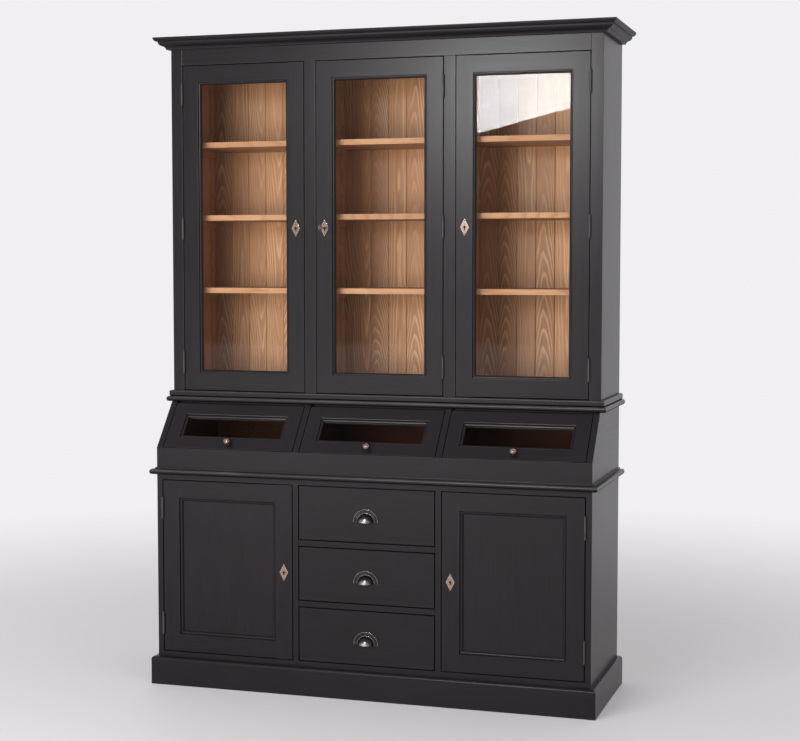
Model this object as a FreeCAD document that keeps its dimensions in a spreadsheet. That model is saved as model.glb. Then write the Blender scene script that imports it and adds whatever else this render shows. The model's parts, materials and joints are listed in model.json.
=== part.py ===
# A painted dresser, or china cabinet, in three stages: a base with two cupboards and three
# drawers, a row of three bins behind sloping glazed flaps, and a shallower glazed upper case
# with three doors. The part stands on the floor at z = 0, faces -Y and is centred on x and y.
import FreeCAD
import Part
import Sketcher
import os
from types import SimpleNamespace

SIZES = {
    # Overall sizes of the case, without mouldings
    "case_width": 1500,
    "case_depth": 470,
    "upper_setback": 140,
    # Plinth
    "plinth_height": 95,
    "plinth_thickness": 30,
    "plinth_overhang": 19,
    "plinth_rounding": 10,
    # Boards of the base
    "upright_thickness": 20,
    "carcass_board": 18,
    "base_opening_height": 591,
    "back_thickness": 12,
    "counter_thickness": 18,
    "counter_overhang": 20,
    "edge_rounding": 8,
    # Bins
    "bin_bottom_thickness": 5,
    "bin_bottom_overhang": 5,
    "apron_height": 67,
    "apron_thickness": 20,
    "bin_rise": 148,
    "slope_run": 124,
    "bin_top_thickness": 18,
    "bin_top_overhang": 20,
    # Upper case
    "upper_bottom_thickness": 20,
    "upper_bottom_overhang": 12,
    "upper_bottom_rounding": 5,
    "upper_opening_height": 1115,
    "frame_thickness": 20,
    "frame_stile": 40,
    "frame_top_rail": 54,
    "top_board_thickness": 18,
    "cornice_height": 39,
    "cornice_overhang": 47,
    "cornice_seat": 20,
    # Tongued and grooved boards of the upper back
    "back_board_width": 65,
    "tongue_length": 5,
    "tongue_clearance": 0.2,
    "back_chamfer": 2,
    # Shelves on battens in notched racks
    "shelf_thickness": 19,
    "shelf_first_height": 355,
    "shelf_pitch": 250,
    "shelf_setback": 45,
    "shelf_clearance": 0.5,
    "rack_width": 22,
    "rack_thickness": 12,
    "rack_inset": 25,
    "notch_depth": 8,
    "notch_slope": 8,
    "notch_clearance": 0.5,
    "batten_height": 18,
    "batten_ledge": 10,
    "cleat_height": 18,
    "base_shelf_setback": 60,
    # Door and flap frames
    "front_gap": 2.4,
    "door_thickness": 20,
    "upper_door_stile": 56,
    "upper_door_bottom_rail": 60,
    "base_door_stile": 60,
    "flap_stile": 48,
    "flap_rail": 45,
    "flap_top_gap": 7,
    "flap_ledge_depth": 6,
    "flap_ledge_height": 12,
    "flap_head_setback": 20,
    "flap_head_depth": 16,
    "flap_head_height": 14,
    "door_stop_depth": 12,
    "door_stop_lap": 8,
    "door_stop_grip": 16,
    "bead_width": 10,
    "bead_quirk": 2,
    "bead_quirk_depth": 6.5,
    "bead_recess": 3,
    "bead_lip": 2,
    "glass_seat": 10,
    "glass_thickness": 4,
    "panel_thickness": 6,
    "pane_clearance": 0.5,
    "rear_bead_width": 8,
    # Butt hinges with ball tips
    "hinge_length": 66,
    "hinge_radius": 4,
    "hinge_middle": 26,
    "hinge_pin_radius": 2,
    "hinge_leaf": 0.9,
    "hinge_leaf_width": 16,
    "hinge_standoff": 0.5,
    "knuckle_gap": 0.3,
    "hinge_end_distance": 95,
    "pin_clearance": 0.05,
    # Pivots of the flaps
    "flap_pin_radius": 3,
    "flap_pin_reach": 14,
    "flap_pin_seat": 10,
    "flap_pivot_inset": 12,
    # Locks and key
    "lock_width": 44,
    "lock_height": 46,
    "lock_depth": 12,
    "lock_wall": 1.5,
    "lock_edge": 1,
    "lock_backset": 29,
    "bolt_height": 12,
    "bolt_thickness": 4,
    "bolt_length": 34,
    "bolt_rise": 4,
    "bolt_travel": 8,
    "bolt_clearance": 0.3,
    "keyhole_radius": 3.2,
    "keyhole_slot_width": 3.4,
    "keyhole_slot_length": 9,
    "escutcheon_width": 30,
    "escutcheon_height": 58,
    "escutcheon_thickness": 1.5,
    "key_shank_radius": 2.4,
    "key_reach": 34,
    "key_bow_radius": 9,
    "key_bow_wire": 2.6,
    "key_bit_length": 7.5,
    "key_bit_width": 4,
    "key_bit_thickness": 2.2,
    # Drawers
    "drawer_rail_height": 20,
    "drawer_rail_depth": 60,
    "runner_width": 20,
    "drawer_front_thickness": 20,
    "drawer_side": 12,
    "drawer_bottom": 8,
    "drawer_bottom_rise": 8,
    "drawer_back_clearance": 58,
    "drawer_side_clearance": 1,
    "drawer_head_clearance": 14,
    # Cup pulls and knobs
    "pull_width": 86,
    "pull_flange": 14,
    "pull_plate": 2.4,
    "pull_depth": 24,
    "pull_wall": 2,
    "knob_radius": 12.5,
    "knob_projection": 26,
    "knob_head": 9.5,
    "knob_neck_radius": 4.5,
    "knob_rose_radius": 8,
    "knob_rose_height": 2,
    # How far a cutting tool runs past the face that it cuts
    "overrun": 1,
}

doc = FreeCAD.newDocument("china_cabinet")
sheet = doc.addObject("Spreadsheet::Sheet", "Sizes")
for row, (alias, value) in enumerate(SIZES.items(), start=1):
    sheet.set("A%d" % row, alias.replace("_", " "))
    sheet.set("B%d" % row, str(value))
    sheet.setAlias("B%d" % row, alias)
doc.recompute()


class Size:
    """A length of the sheet, or a sum worked out from several of them."""

    def __init__(self, text):
        self.text = text

    def joined(self, sign, other):
        return Size("(%s %s %s)" % (self.text, sign, words(other)))

    def __add__(self, other):
        return self.joined("+", other)

    def __sub__(self, other):
        return self.joined("-", other)

    def __mul__(self, other):
        return self.joined("*", other)

    def __truediv__(self, other):
        return self.joined("/", other)

    def __radd__(self, other):
        return Size(words(other)).joined("+", self)

    def __rsub__(self, other):
        return Size(words(other)).joined("-", self)

    def __rmul__(self, other):
        return Size(words(other)).joined("*", self)

    def __neg__(self):
        return Size("(0 - %s)" % self.text)


def words(size):
    return size.text if isinstance(size, Size) else repr(size)


def mm(size):
    return float(sheet.evalExpression(words(size)))


def vector(x, y, z):
    return FreeCAD.Vector(mm(x), mm(y), mm(z))


s = SimpleNamespace(**{alias: Size("Sizes." + alias) for alias in SIZES})
nodes = []

X_AXIS = FreeCAD.Vector(1, 0, 0)
Y_AXIS = FreeCAD.Vector(0, 1, 0)
Z_AXIS = FreeCAD.Vector(0, 0, 1)
UNTURNED = FreeCAD.Rotation()
ALONG_X = FreeCAD.Rotation(Y_AXIS, 90)
ALONG_Y = FreeCAD.Rotation(X_AXIS, -90)
FORWARD = FreeCAD.Rotation(X_AXIS, 90)

# Levels, from the floor up, and the faces of the case
half_width = s.case_width / 2
front = (s.pull_depth - s.case_depth) / 2
back = front + s.case_depth
upper_front = front + s.upper_setback
inner_back = back - s.back_thickness
base_floor = s.plinth_height + s.carcass_board
base_ceiling = base_floor + s.base_opening_height
counter_level = base_ceiling + s.carcass_board
counter_top = counter_level + s.counter_thickness
bin_floor = counter_top + s.bin_bottom_thickness
slope_level = bin_floor + s.apron_height
bin_ceiling = slope_level + s.bin_rise
upper_bottom_level = bin_ceiling + s.bin_top_thickness
upper_floor = upper_bottom_level + s.upper_bottom_thickness
upper_lintel = upper_floor + s.upper_opening_height
case_top = upper_lintel + s.frame_top_rail
upper_ceiling = case_top - s.top_board_thickness

# Widths of the three bays, and the left edge of each
BAYS = 3
base_bay = (s.case_width - (BAYS + 1) * s.upright_thickness) / BAYS
upper_bay = (s.case_width - (BAYS + 1) * s.frame_stile) / BAYS
base_bay_left = [-half_width + s.upright_thickness + i * (base_bay + s.upright_thickness)
                 for i in range(BAYS)]
upper_bay_left = [-half_width + s.frame_stile + i * (upper_bay + s.frame_stile) for i in range(BAYS)]
upper_partition_left = [left - (s.frame_stile + s.upright_thickness) / 2 for left in upper_bay_left[1:]]

# The drawers take the middle bay of the base, and the cupboards the others
drawer_bay = BAYS // 2
cupboard_bays = [bay for bay in range(BAYS) if bay != drawer_bay]


def place(piece, x, y, z, turn=UNTURNED, tilt=None):
    """Put a piece at a place of the case, or at a place on the tilted plane of a flap."""
    if tilt is None:
        piece.Placement = FreeCAD.Placement(FreeCAD.Vector(), turn)
        piece.setExpression("Placement.Base.x", words(x))
        piece.setExpression("Placement.Base.y", words(y))
        piece.setExpression("Placement.Base.z", words(z))
    else:
        piece.Placement = tilt.multiply(FreeCAD.Placement(vector(x, y, z), turn))
    return piece


def bind(piece, **sizes):
    for name, size in sizes.items():
        piece.setExpression(name, words(size))
    return piece


def board(name, x, y, z, width, depth, height, tilt=None):
    piece = bind(doc.addObject("Part::Box", name), Length=width, Width=depth, Height=height)
    return place(piece, x, y, z, tilt=tilt)


def rod(name, x, y, z, radius, length, turn=UNTURNED, tilt=None):
    piece = bind(doc.addObject("Part::Cylinder", name), Radius=radius, Height=length)
    return place(piece, x, y, z, turn, tilt)


def fuse(name, pieces):
    joined = doc.addObject("Part::MultiFuse", name)
    joined.Shapes = pieces
    return joined


def cut(name, base, *tools):
    for number, tool in enumerate(tools):
        less = doc.addObject("Part::Cut", "%s_cut_%d" % (name, number))
        less.Base = base
        less.Tool = tool
        base = less
    return base


def feature(name, shape, placement=None):
    piece = doc.addObject("Part::Feature", name)
    piece.Shape = shape
    piece.Placement = placement or FreeCAD.Placement()
    return piece


def node(label, *pieces):
    """Name a sub-part. Several pieces of one kind stay separate solids in a compound."""
    whole = pieces[0]
    if len(pieces) > 1:
        whole = doc.addObject("Part::Compound", label)
        whole.Links = list(pieces)
    whole.Label = label
    nodes.append(whole)
    return whole


def from_edge(side, edge, start, width):
    """Left edge of a strip that starts some way from an edge, to the right (1) or left (-1)."""
    return edge + start if side > 0 else edge - start - width


def padded(name, plane, points, length):
    """A body whose sketch has one corner per point, each held by two bound dimensions."""
    body = doc.addObject("PartDesign::Body", name)
    sketch = body.newObject("Sketcher::SketchObject", name + "_sketch")
    support = [plane_ for plane_ in body.Origin.OriginFeatures if plane_.Role == plane][0]
    sketch.AttachmentSupport = [(support, "")]
    sketch.MapMode = "FlatFace"
    corners = [vector(across, up, 0) for across, up in points]
    for number, corner in enumerate(corners):
        following = corners[(number + 1) % len(corners)]
        sketch.addGeometry(Part.LineSegment(corner, following), False)
    for number in range(len(corners)):
        following = (number + 1) % len(corners)
        sketch.addConstraint(Sketcher.Constraint("Coincident", number, 2, following, 1))
    for number, (across, up) in enumerate(points):
        for kind, size in (("DistanceX", across), ("DistanceY", up)):
            index = sketch.addConstraint(Sketcher.Constraint(kind, -1, 1, number, 1, mm(size)))
            sketch.setExpression("Constraints[%d]" % index, words(size))
    pad = body.newObject("PartDesign::Pad", name + "_pad")
    pad.Profile = sketch
    pad.setExpression("Length", words(length))
    doc.recompute()
    return body


def edged_board(label, overhang, depth, thickness, y, z, rounding):
    """A board with a rounded edge along its front and both ends, square at the back."""
    reach = half_width + overhang
    corners = [(-reach, 0), (reach, 0), (reach, depth), (-reach, depth)]
    body = padded(label, "XY_Plane", corners, thickness)
    pad = body.Tip
    edges = []
    for number, edge in enumerate(pad.Shape.Edges, start=1):
        level = edge.BoundBox.ZLength < mm(s.overrun)
        at_back = edge.BoundBox.YMin > mm(depth - s.overrun)
        if level and not at_back:
            edges.append("Edge%d" % number)
    fillet = body.newObject("PartDesign::Fillet", label + "_edge")
    fillet.Base = (pad, edges)
    fillet.setExpression("Radius", words(rounding))
    place(body, 0, y, z)
    return node(label, body)


def section_face(steps):
    """A moulding's section. A step is the next point, or a point on an arc and the arc's end.
    The first number of a point is how far it stands out, and the second is how high it is."""
    def at(point):
        return FreeCAD.Vector(0, -point[0], point[1])
    edges = []
    last = steps[0]
    for step in steps[1:] + steps[:1]:
        if isinstance(step[0], tuple):
            edges.append(Part.Arc(at(last), at(step[0]), at(step[1])).toShape())
            last = step[1]
        else:
            edges.append(Part.LineSegment(at(last), at(step)).toShape())
            last = step
    return Part.Face(Part.Wire(edges))


def mitred_run(face, length, start, end):
    """A length of moulding along X. An end is mitred outwards (1), inwards (-1) or square (0)."""
    box = face.BoundBox
    inner, outer = -box.YMax, -box.YMin
    corners = [(-start * inner, inner), (length + end * inner, inner),
               (length + end * outer, outer), (-start * outer, outer)]
    left = min(corner[0] for corner in corners)
    right = max(corner[0] for corner in corners)
    run = face.translated(FreeCAD.Vector(left, 0, 0)).extrude(FreeCAD.Vector(right - left, 0, 0))
    outline = [FreeCAD.Vector(x, -out, box.ZMin) for x, out in corners]
    plan = Part.Face(Part.makePolygon(outline + outline[:1]))
    return run.common(plan.extrude(FreeCAD.Vector(0, 0, box.ZLength))).Solids[0]


def moulding_round_case(label, steps, y, depth, z):
    """Three mitred lengths along the front and both ends of a case, square at the wall."""
    face = section_face(steps)
    width = mm(s.case_width)
    runs = (
        ("front", width, 1, 1, -half_width, y, 0),
        ("right", mm(depth), 1, 0, half_width, y, 90),
        ("left", mm(depth), 0, 1, -half_width, y + depth, -90),
    )
    pieces = []
    for name, length, start, end, x, run_y, turn in runs:
        placement = FreeCAD.Placement(vector(x, run_y, z), FreeCAD.Rotation(Z_AXIS, turn))
        pieces.append(feature("%s_%s" % (label, name), mitred_run(face, length, start, end), placement))
    return node(label, *pieces)


def bead_round_window(name, steps, x, y, z, width, height, tilt):
    """Four beads round a window, mitred inwards at its corners."""
    face = section_face(steps)
    lying = FreeCAD.Rotation(X_AXIS, -90)
    sides = (
        (width, 0, x, z), (height, -90, x + width, z),
        (width, 180, x + width, z + height), (height, 90, x, z + height),
    )
    pieces = []
    for number, (length, turn, corner_x, corner_z) in enumerate(sides):
        rotation = FreeCAD.Rotation(Y_AXIS, turn).multiply(lying)
        placement = FreeCAD.Placement(vector(corner_x, y, corner_z), rotation)
        if tilt is not None:
            placement = tilt.multiply(placement)
        pieces.append(feature("%s_%d" % (name, number), mitred_run(face, mm(length), -1, -1), placement))
    return pieces


# Plinth: three mitred boards with a rounded top edge, standing a little proud of the case
plinth_in = -mm(s.plinth_thickness - s.plinth_overhang)
plinth_out = mm(s.plinth_overhang)
plinth_top = mm(s.plinth_height)
rounding = mm(s.plinth_rounding)
diagonal_share = 0.2929
moulding_round_case("plinth", [
    (plinth_in, 0), (plinth_out, 0), (plinth_out, plinth_top - rounding),
    ((plinth_out - rounding * diagonal_share, plinth_top - rounding * diagonal_share),
     (plinth_out - rounding, plinth_top)),
    (plinth_in, plinth_top),
], front, s.case_depth, 0)

# Base case: bottom and top boards, two sides and two partitions. The partitions have a mortise
# for the bolt of the door beside them, and a strip under the top stops each door.
lock_level = base_floor + s.base_opening_height / 2
upright_depths = [s.case_depth] + [s.case_depth - s.back_thickness] * (BAYS - 1) + [s.case_depth]
upright_lefts = [-half_width] + [base_bay_left[i] - s.upright_thickness for i in range(1, BAYS)]
upright_lefts.append(half_width - s.upright_thickness)
base_boards = [
    board("base_bottom", -half_width, front, s.plinth_height, s.case_width, s.case_depth,
          s.carcass_board),
    board("base_top", -half_width, front, base_ceiling, s.case_width, s.case_depth, s.carcass_board),
]
mortise_depth = s.bolt_travel - s.front_gap + 2 * s.bolt_clearance
for number, (left, depth) in enumerate(zip(upright_lefts, upright_depths)):
    upright = board("base_upright_%d" % number, left, front, base_floor, s.upright_thickness, depth,
                    s.base_opening_height)
    if number in (1, BAYS - 1):
        face_x = left if number == 1 else left + s.upright_thickness
        mortise = board(
            "mortise_%d" % number,
            from_edge(1 if number == 1 else -1, face_x, -s.overrun, mortise_depth + s.overrun),
            front + s.door_thickness, lock_level + s.bolt_rise - s.bolt_clearance,
            mortise_depth + s.overrun, s.bolt_thickness + 2 * s.bolt_clearance,
            s.bolt_height + 2 * s.bolt_clearance)
        upright = cut("base_upright_%d" % number, upright, mortise)
    base_boards.append(upright)
for bay in cupboard_bays:
    base_boards.append(board("base_door_stop_%d" % bay, base_bay_left[bay], front + s.door_thickness,
                             base_ceiling - s.door_stop_lap, base_bay, s.door_stop_depth,
                             s.door_stop_lap))
node("base_case", *base_boards)

# Counter board on the base, with a rounded edge all round but the back
edged_board("counter_board", s.counter_overhang, s.case_depth + s.counter_overhang, s.counter_thickness,
            front - s.counter_overhang, counter_level, s.edge_rounding)

# Back panels of the base and of the bins, between the outer sides
inner_width = s.case_width - 2 * s.upright_thickness
node("back_panels",
     board("base_back", -half_width + s.upright_thickness, inner_back, base_floor,
           inner_width, s.back_thickness, s.base_opening_height),
     board("bin_back", -half_width + s.upright_thickness, inner_back, bin_floor,
           inner_width, s.back_thickness, bin_ceiling - bin_floor))

# Rails between the drawers, with runners along the partitions
DRAWERS = 3
drawer_opening = (s.base_opening_height - (DRAWERS - 1) * s.drawer_rail_height) / DRAWERS
drawer_floor = [base_floor + i * (drawer_opening + s.drawer_rail_height) for i in range(DRAWERS)]
drawer_left = base_bay_left[drawer_bay]
rails = []
for number in range(1, DRAWERS):
    level = drawer_floor[number] - s.drawer_rail_height
    rails.append(board("drawer_rail_%d" % number, drawer_left, front, level, base_bay,
                       s.drawer_rail_depth, s.drawer_rail_height))
    for side, edge in ((1, drawer_left), (-1, drawer_left + base_bay)):
        rails.append(board("runner_%d_%d" % (number, side + 1), from_edge(side, edge, 0, s.runner_width),
                           front + s.drawer_rail_depth, level, s.runner_width,
                           s.case_depth - s.back_thickness - s.drawer_rail_depth, s.drawer_rail_height))
node("drawer_rails", *rails)

# Bins: on a thin bottom board that stands proud as a fillet, an apron along the front and four
# cheeks whose front edge slopes back. The top of the apron is square to the slope and carries a
# ledge that each flap rests on. The cheeks carry the pins that the flaps turn on. A batten under
# the top of the bins closes the gap above each flap, set back to leave room for it to turn.
slope_length = Size("sqrt(Sizes.slope_run * Sizes.slope_run + Sizes.bin_rise * Sizes.bin_rise)")
slope_turn = FreeCAD.Rotation(Z_AXIS, vector(0, s.slope_run, s.bin_rise))
slope = FreeCAD.Placement(vector(0, front, slope_level), slope_turn)
apron_fall = s.apron_thickness * s.slope_run / s.bin_rise
pivot_depth = s.door_thickness / 2
flap_length = slope_length - s.front_gap - s.flap_top_gap
pivot_height = s.front_gap + flap_length - s.flap_pivot_inset
apron = padded("bin_apron", "YZ_Plane",
               [(0, 0), (s.apron_thickness, 0), (s.apron_thickness, s.apron_height - apron_fall),
                (0, s.apron_height)], s.case_width)
place(apron, -half_width, front, bin_floor)
bin_bottom = board("bin_bottom", -half_width - s.bin_bottom_overhang, front - s.bin_bottom_overhang,
                   counter_top, s.case_width + 2 * s.bin_bottom_overhang,
                   s.case_depth + s.bin_bottom_overhang, s.bin_bottom_thickness)
bin_boards = [bin_bottom, apron]
for number, (left, depth) in enumerate(zip(upright_lefts, upright_depths)):
    cheek = padded("bin_cheek_%d" % number, "YZ_Plane",
                   [(s.apron_thickness, 0), (depth, 0), (depth, bin_ceiling - bin_floor),
                    (s.slope_run, bin_ceiling - bin_floor), (0, s.apron_height),
                    (s.apron_thickness, s.apron_height - apron_fall)], s.upright_thickness)
    place(cheek, left, front, bin_floor)
    bore_start = s.upright_thickness - s.flap_pin_seat if number == 0 else -s.overrun
    bore_length = s.upright_thickness + 2 * s.overrun
    if number in (0, BAYS):
        bore_length = s.flap_pin_seat + s.overrun
    bore = rod("bin_cheek_bore_%d" % number, left + bore_start, pivot_depth, pivot_height,
               s.flap_pin_radius + s.pin_clearance, bore_length, ALONG_X, slope)
    bin_boards.append(cut("bin_cheek_%d" % number, cheek, bore))
for bay, left in enumerate(base_bay_left):
    bin_boards.append(board("flap_ledge_%d" % bay, left, s.door_thickness, 0, base_bay,
                            s.flap_ledge_depth, s.flap_ledge_height, slope))
    bin_boards.append(board("flap_head_%d" % bay, left, front + s.slope_run + s.flap_head_setback,
                            bin_ceiling - s.flap_head_height, base_bay, s.flap_head_depth,
                            s.flap_head_height))
node("bin_case", *bin_boards)

# Top of the bins, and the bottom board of the upper case, each with a rounded edge
edged_board("bin_top", s.bin_top_overhang, s.case_depth - s.upper_setback + s.bin_top_overhang,
            s.bin_top_thickness, upper_front - s.bin_top_overhang, bin_ceiling, s.edge_rounding)
edged_board("upper_bottom", s.upper_bottom_overhang,
            s.case_depth - s.upper_setback + s.upper_bottom_overhang,
            s.upper_bottom_thickness, upper_front - s.upper_bottom_overhang, upper_bottom_level,
            s.upper_bottom_rounding)

# Upper case: sides, partitions and top board, behind a face frame
case_front = upper_front + s.frame_thickness
upper_boards = [
    board("upper_top", -half_width, case_front, upper_ceiling, s.case_width,
          back - case_front, s.top_board_thickness)]
upper_lefts = [-half_width] + upper_partition_left + [half_width - s.upright_thickness]
for number, left in enumerate(upper_lefts):
    upright_back = back if number in (0, BAYS) else inner_back
    upper_boards.append(board("upper_upright_%d" % number, left, case_front, upper_floor,
                              s.upright_thickness, upright_back - case_front,
                              upper_ceiling - upper_floor))
node("upper_case", *upper_boards)

# Face frame, flush with the doors: two stiles as tall as the case, a top rail between them, two
# mullions under the rail, and strips that stop each door at its head and its foot
frame_pieces = [board("face_frame_rail", -half_width + s.frame_stile, upper_front, upper_lintel,
                      s.case_width - 2 * s.frame_stile, s.frame_thickness, s.frame_top_rail)]
for number in range(BAYS + 1):
    left = -half_width + number * (upper_bay + s.frame_stile)
    height = case_top - upper_floor if number in (0, BAYS) else s.upper_opening_height
    frame_pieces.append(board("face_frame_stile_%d" % number, left, upper_front, upper_floor,
                              s.frame_stile, s.frame_thickness, height))
for bay in range(BAYS):
    left = upper_lefts[bay] + s.upright_thickness
    width = upper_lefts[bay + 1] - left
    frame_pieces.append(board("upper_head_stop_%d" % bay, left, case_front,
                              upper_lintel - s.door_stop_lap, width,
                              s.door_stop_depth, s.door_stop_lap + s.door_stop_grip))
    frame_pieces.append(board("upper_foot_stop_%d" % bay, left, case_front, upper_floor, width,
                              s.door_stop_depth, s.door_stop_lap))
node("upper_face_frame", *frame_pieces)

# Cornice: from below a cove, an ovolo, a fillet, a quirk and a rounded top member, mitred at the
# front corners. A point is given as shares of the overhang and the height.
CORNICE_SHARES = [
    (0.27, 0.0), (0.27, 0.04), ((0.345, 0.19), (0.48, 0.28)), ((0.63, 0.37), (0.72, 0.525)),
    (0.72, 0.655), (0.82, 0.655), ((0.945, 0.765), (1.0, 0.935)), (1.0, 1.0),
]


def cornice_point(share):
    if isinstance(share[0], tuple):
        return tuple(cornice_point(part) for part in share)
    return (share[0] * mm(s.cornice_overhang), share[1] * mm(s.cornice_height))


cornice_seat = -mm(s.cornice_seat)
cornice_steps = [(cornice_seat, 0)] + [cornice_point(share) for share in CORNICE_SHARES]
cornice_steps.append((cornice_seat, mm(s.cornice_height)))
moulding_round_case("cornice", cornice_steps, upper_front, s.case_depth - s.upper_setback, case_top)

# Back of the upper case: upright boards with a tongue, a groove and a small bevel at each joint
panel_width = mm(inner_width)
tongue = mm(s.tongue_length)
groove = tongue + mm(s.tongue_clearance)
thick = mm(s.back_thickness)
bevel = mm(s.back_chamfer)
board_count = round(panel_width / mm(s.back_board_width))
pitch = (panel_width - tongue) / board_count
tongue_from = thick / 3 + mm(s.tongue_clearance)
tongue_to = thick * 2 / 3 - mm(s.tongue_clearance)
board_outline = [
    (0, bevel), (bevel, 0), (pitch - bevel, 0), (pitch, bevel), (pitch, tongue_from),
    (pitch + tongue, tongue_from), (pitch + tongue, tongue_to), (pitch, tongue_to), (pitch, thick),
    (0, thick), (0, thick * 2 / 3), (groove, thick * 2 / 3), (groove, thick / 3), (0, thick / 3),
]
outline = [FreeCAD.Vector(x, y, 0) for x, y in board_outline]
board_face = Part.Face(Part.makePolygon(outline + outline[:1]))
back_board = board_face.extrude(FreeCAD.Vector(0, 0, mm(upper_ceiling - upper_floor)))
left_end = vector(-half_width + s.upright_thickness, inner_back, upper_floor)
node("back_boards", *[
    feature("back_board_%d" % number, back_board,
            FreeCAD.Placement(left_end + FreeCAD.Vector(number * pitch, 0, 0), UNTURNED))
    for number in range(board_count)])

# Shelves: three in each upper compartment, lying between the racks, and one in each cupboard
SHELVES = 3
shelf_tops = [upper_floor + s.shelf_first_height + i * s.shelf_pitch for i in range(SHELVES)]
compartment_left = [left + s.upright_thickness for left in upper_lefts[:BAYS]]
compartment_right = upper_lefts[1:]
shelf_front = upper_front + s.shelf_setback
shelf_inset = s.rack_thickness + s.shelf_clearance
shelves = []
for bay in range(BAYS):
    left = compartment_left[bay] + shelf_inset
    width = compartment_right[bay] - compartment_left[bay] - 2 * shelf_inset
    for level, top in enumerate(shelf_tops):
        shelves.append(board("shelf_%d_%d" % (bay, level), left, shelf_front, top - s.shelf_thickness,
                             width, inner_back - shelf_front, s.shelf_thickness))
base_shelf_level = base_floor + s.base_opening_height / 2
base_shelf_front = front + s.base_shelf_setback
for bay in cupboard_bays:
    shelves.append(board("base_shelf_%d" % bay, base_bay_left[bay] + s.shelf_clearance, base_shelf_front,
                         base_shelf_level, base_bay - 2 * s.shelf_clearance,
                         inner_back - base_shelf_front, s.shelf_thickness))
node("shelves", *shelves)

# Shelf supports: notched racks on the walls of the upper compartments, battens that lie in the
# notches under the shelves, and plain cleats in the cupboards
NOTCHES_PER_SHELF = 3
rack_height = mm(upper_ceiling - upper_floor)
notch_pitch = mm(s.shelf_pitch) / NOTCHES_PER_SHELF
first_seat = mm(s.shelf_first_height - s.shelf_thickness - s.batten_height)
seat_numbers = range(-int(first_seat // notch_pitch) + 1, int((rack_height - first_seat) // notch_pitch))
rack_points = [(0, 0), (mm(s.rack_width), 0)]
for number in seat_numbers:
    seat = first_seat + number * notch_pitch
    head = seat + mm(s.batten_height + s.notch_clearance)
    inner = mm(s.rack_width - s.notch_depth)
    rack_points += [(mm(s.rack_width), seat), (inner, seat), (inner, head),
                    (mm(s.rack_width), head + mm(s.notch_slope))]
rack_points += [(mm(s.rack_width), rack_height), (0, rack_height)]
rack_outline = [FreeCAD.Vector(0, y, z) for y, z in rack_points]
rack_face = Part.Face(Part.makePolygon(rack_outline + rack_outline[:1]))
rack = rack_face.extrude(FreeCAD.Vector(mm(s.rack_thickness), 0, 0))
front_rack_y = case_front + s.rack_inset
rear_rack_y = inner_back - s.rack_inset
supports = []
for bay in range(BAYS):
    for side, wall in ((1, compartment_left[bay]), (-1, compartment_right[bay])):
        name = "%d_%d" % (bay, side + 1)
        rack_x = from_edge(side, wall, 0, s.rack_thickness)
        turned = FreeCAD.Rotation(Z_AXIS, 180)
        supports.append(feature("front_rack_" + name, rack,
                                FreeCAD.Placement(vector(rack_x, front_rack_y, upper_floor), UNTURNED)))
        supports.append(feature("rear_rack_" + name, rack, FreeCAD.Placement(
            vector(rack_x + s.rack_thickness, rear_rack_y, upper_floor), turned)))
        batten_width = s.rack_thickness + s.batten_ledge
        batten_front = front_rack_y + s.rack_width - s.notch_depth + s.notch_clearance
        batten_length = rear_rack_y - s.rack_width + s.notch_depth - s.notch_clearance - batten_front
        for level, top in enumerate(shelf_tops):
            supports.append(board("batten_%s_%d" % (name, level),
                                  from_edge(side, wall, 0, batten_width), batten_front,
                                  top - s.shelf_thickness - s.batten_height, batten_width,
                                  batten_length, s.batten_height))
for bay in cupboard_bays:
    for side, wall in ((1, base_bay_left[bay]), (-1, base_bay_left[bay] + base_bay)):
        supports.append(board("cleat_%d_%d" % (bay, side + 1),
                              from_edge(side, wall, 0, s.cleat_height), base_shelf_front,
                              base_shelf_level - s.cleat_height, s.cleat_height,
                              inner_back - base_shelf_front, s.cleat_height))
node("shelf_supports", *supports)


def keyhole(name, x, y, z, depth):
    """A round hole with a slot below it, the shape that a key passes through."""
    hole = rod(name + "_round", x, y, z, s.keyhole_radius, depth, ALONG_Y)
    slot = board(name + "_slot", x - s.keyhole_slot_width / 2, y, z - s.keyhole_slot_length,
                 s.keyhole_slot_width, depth, s.keyhole_slot_length)
    return fuse(name, [hole, slot])


BEAD_BULGE_SHARE = 0.7071


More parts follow.
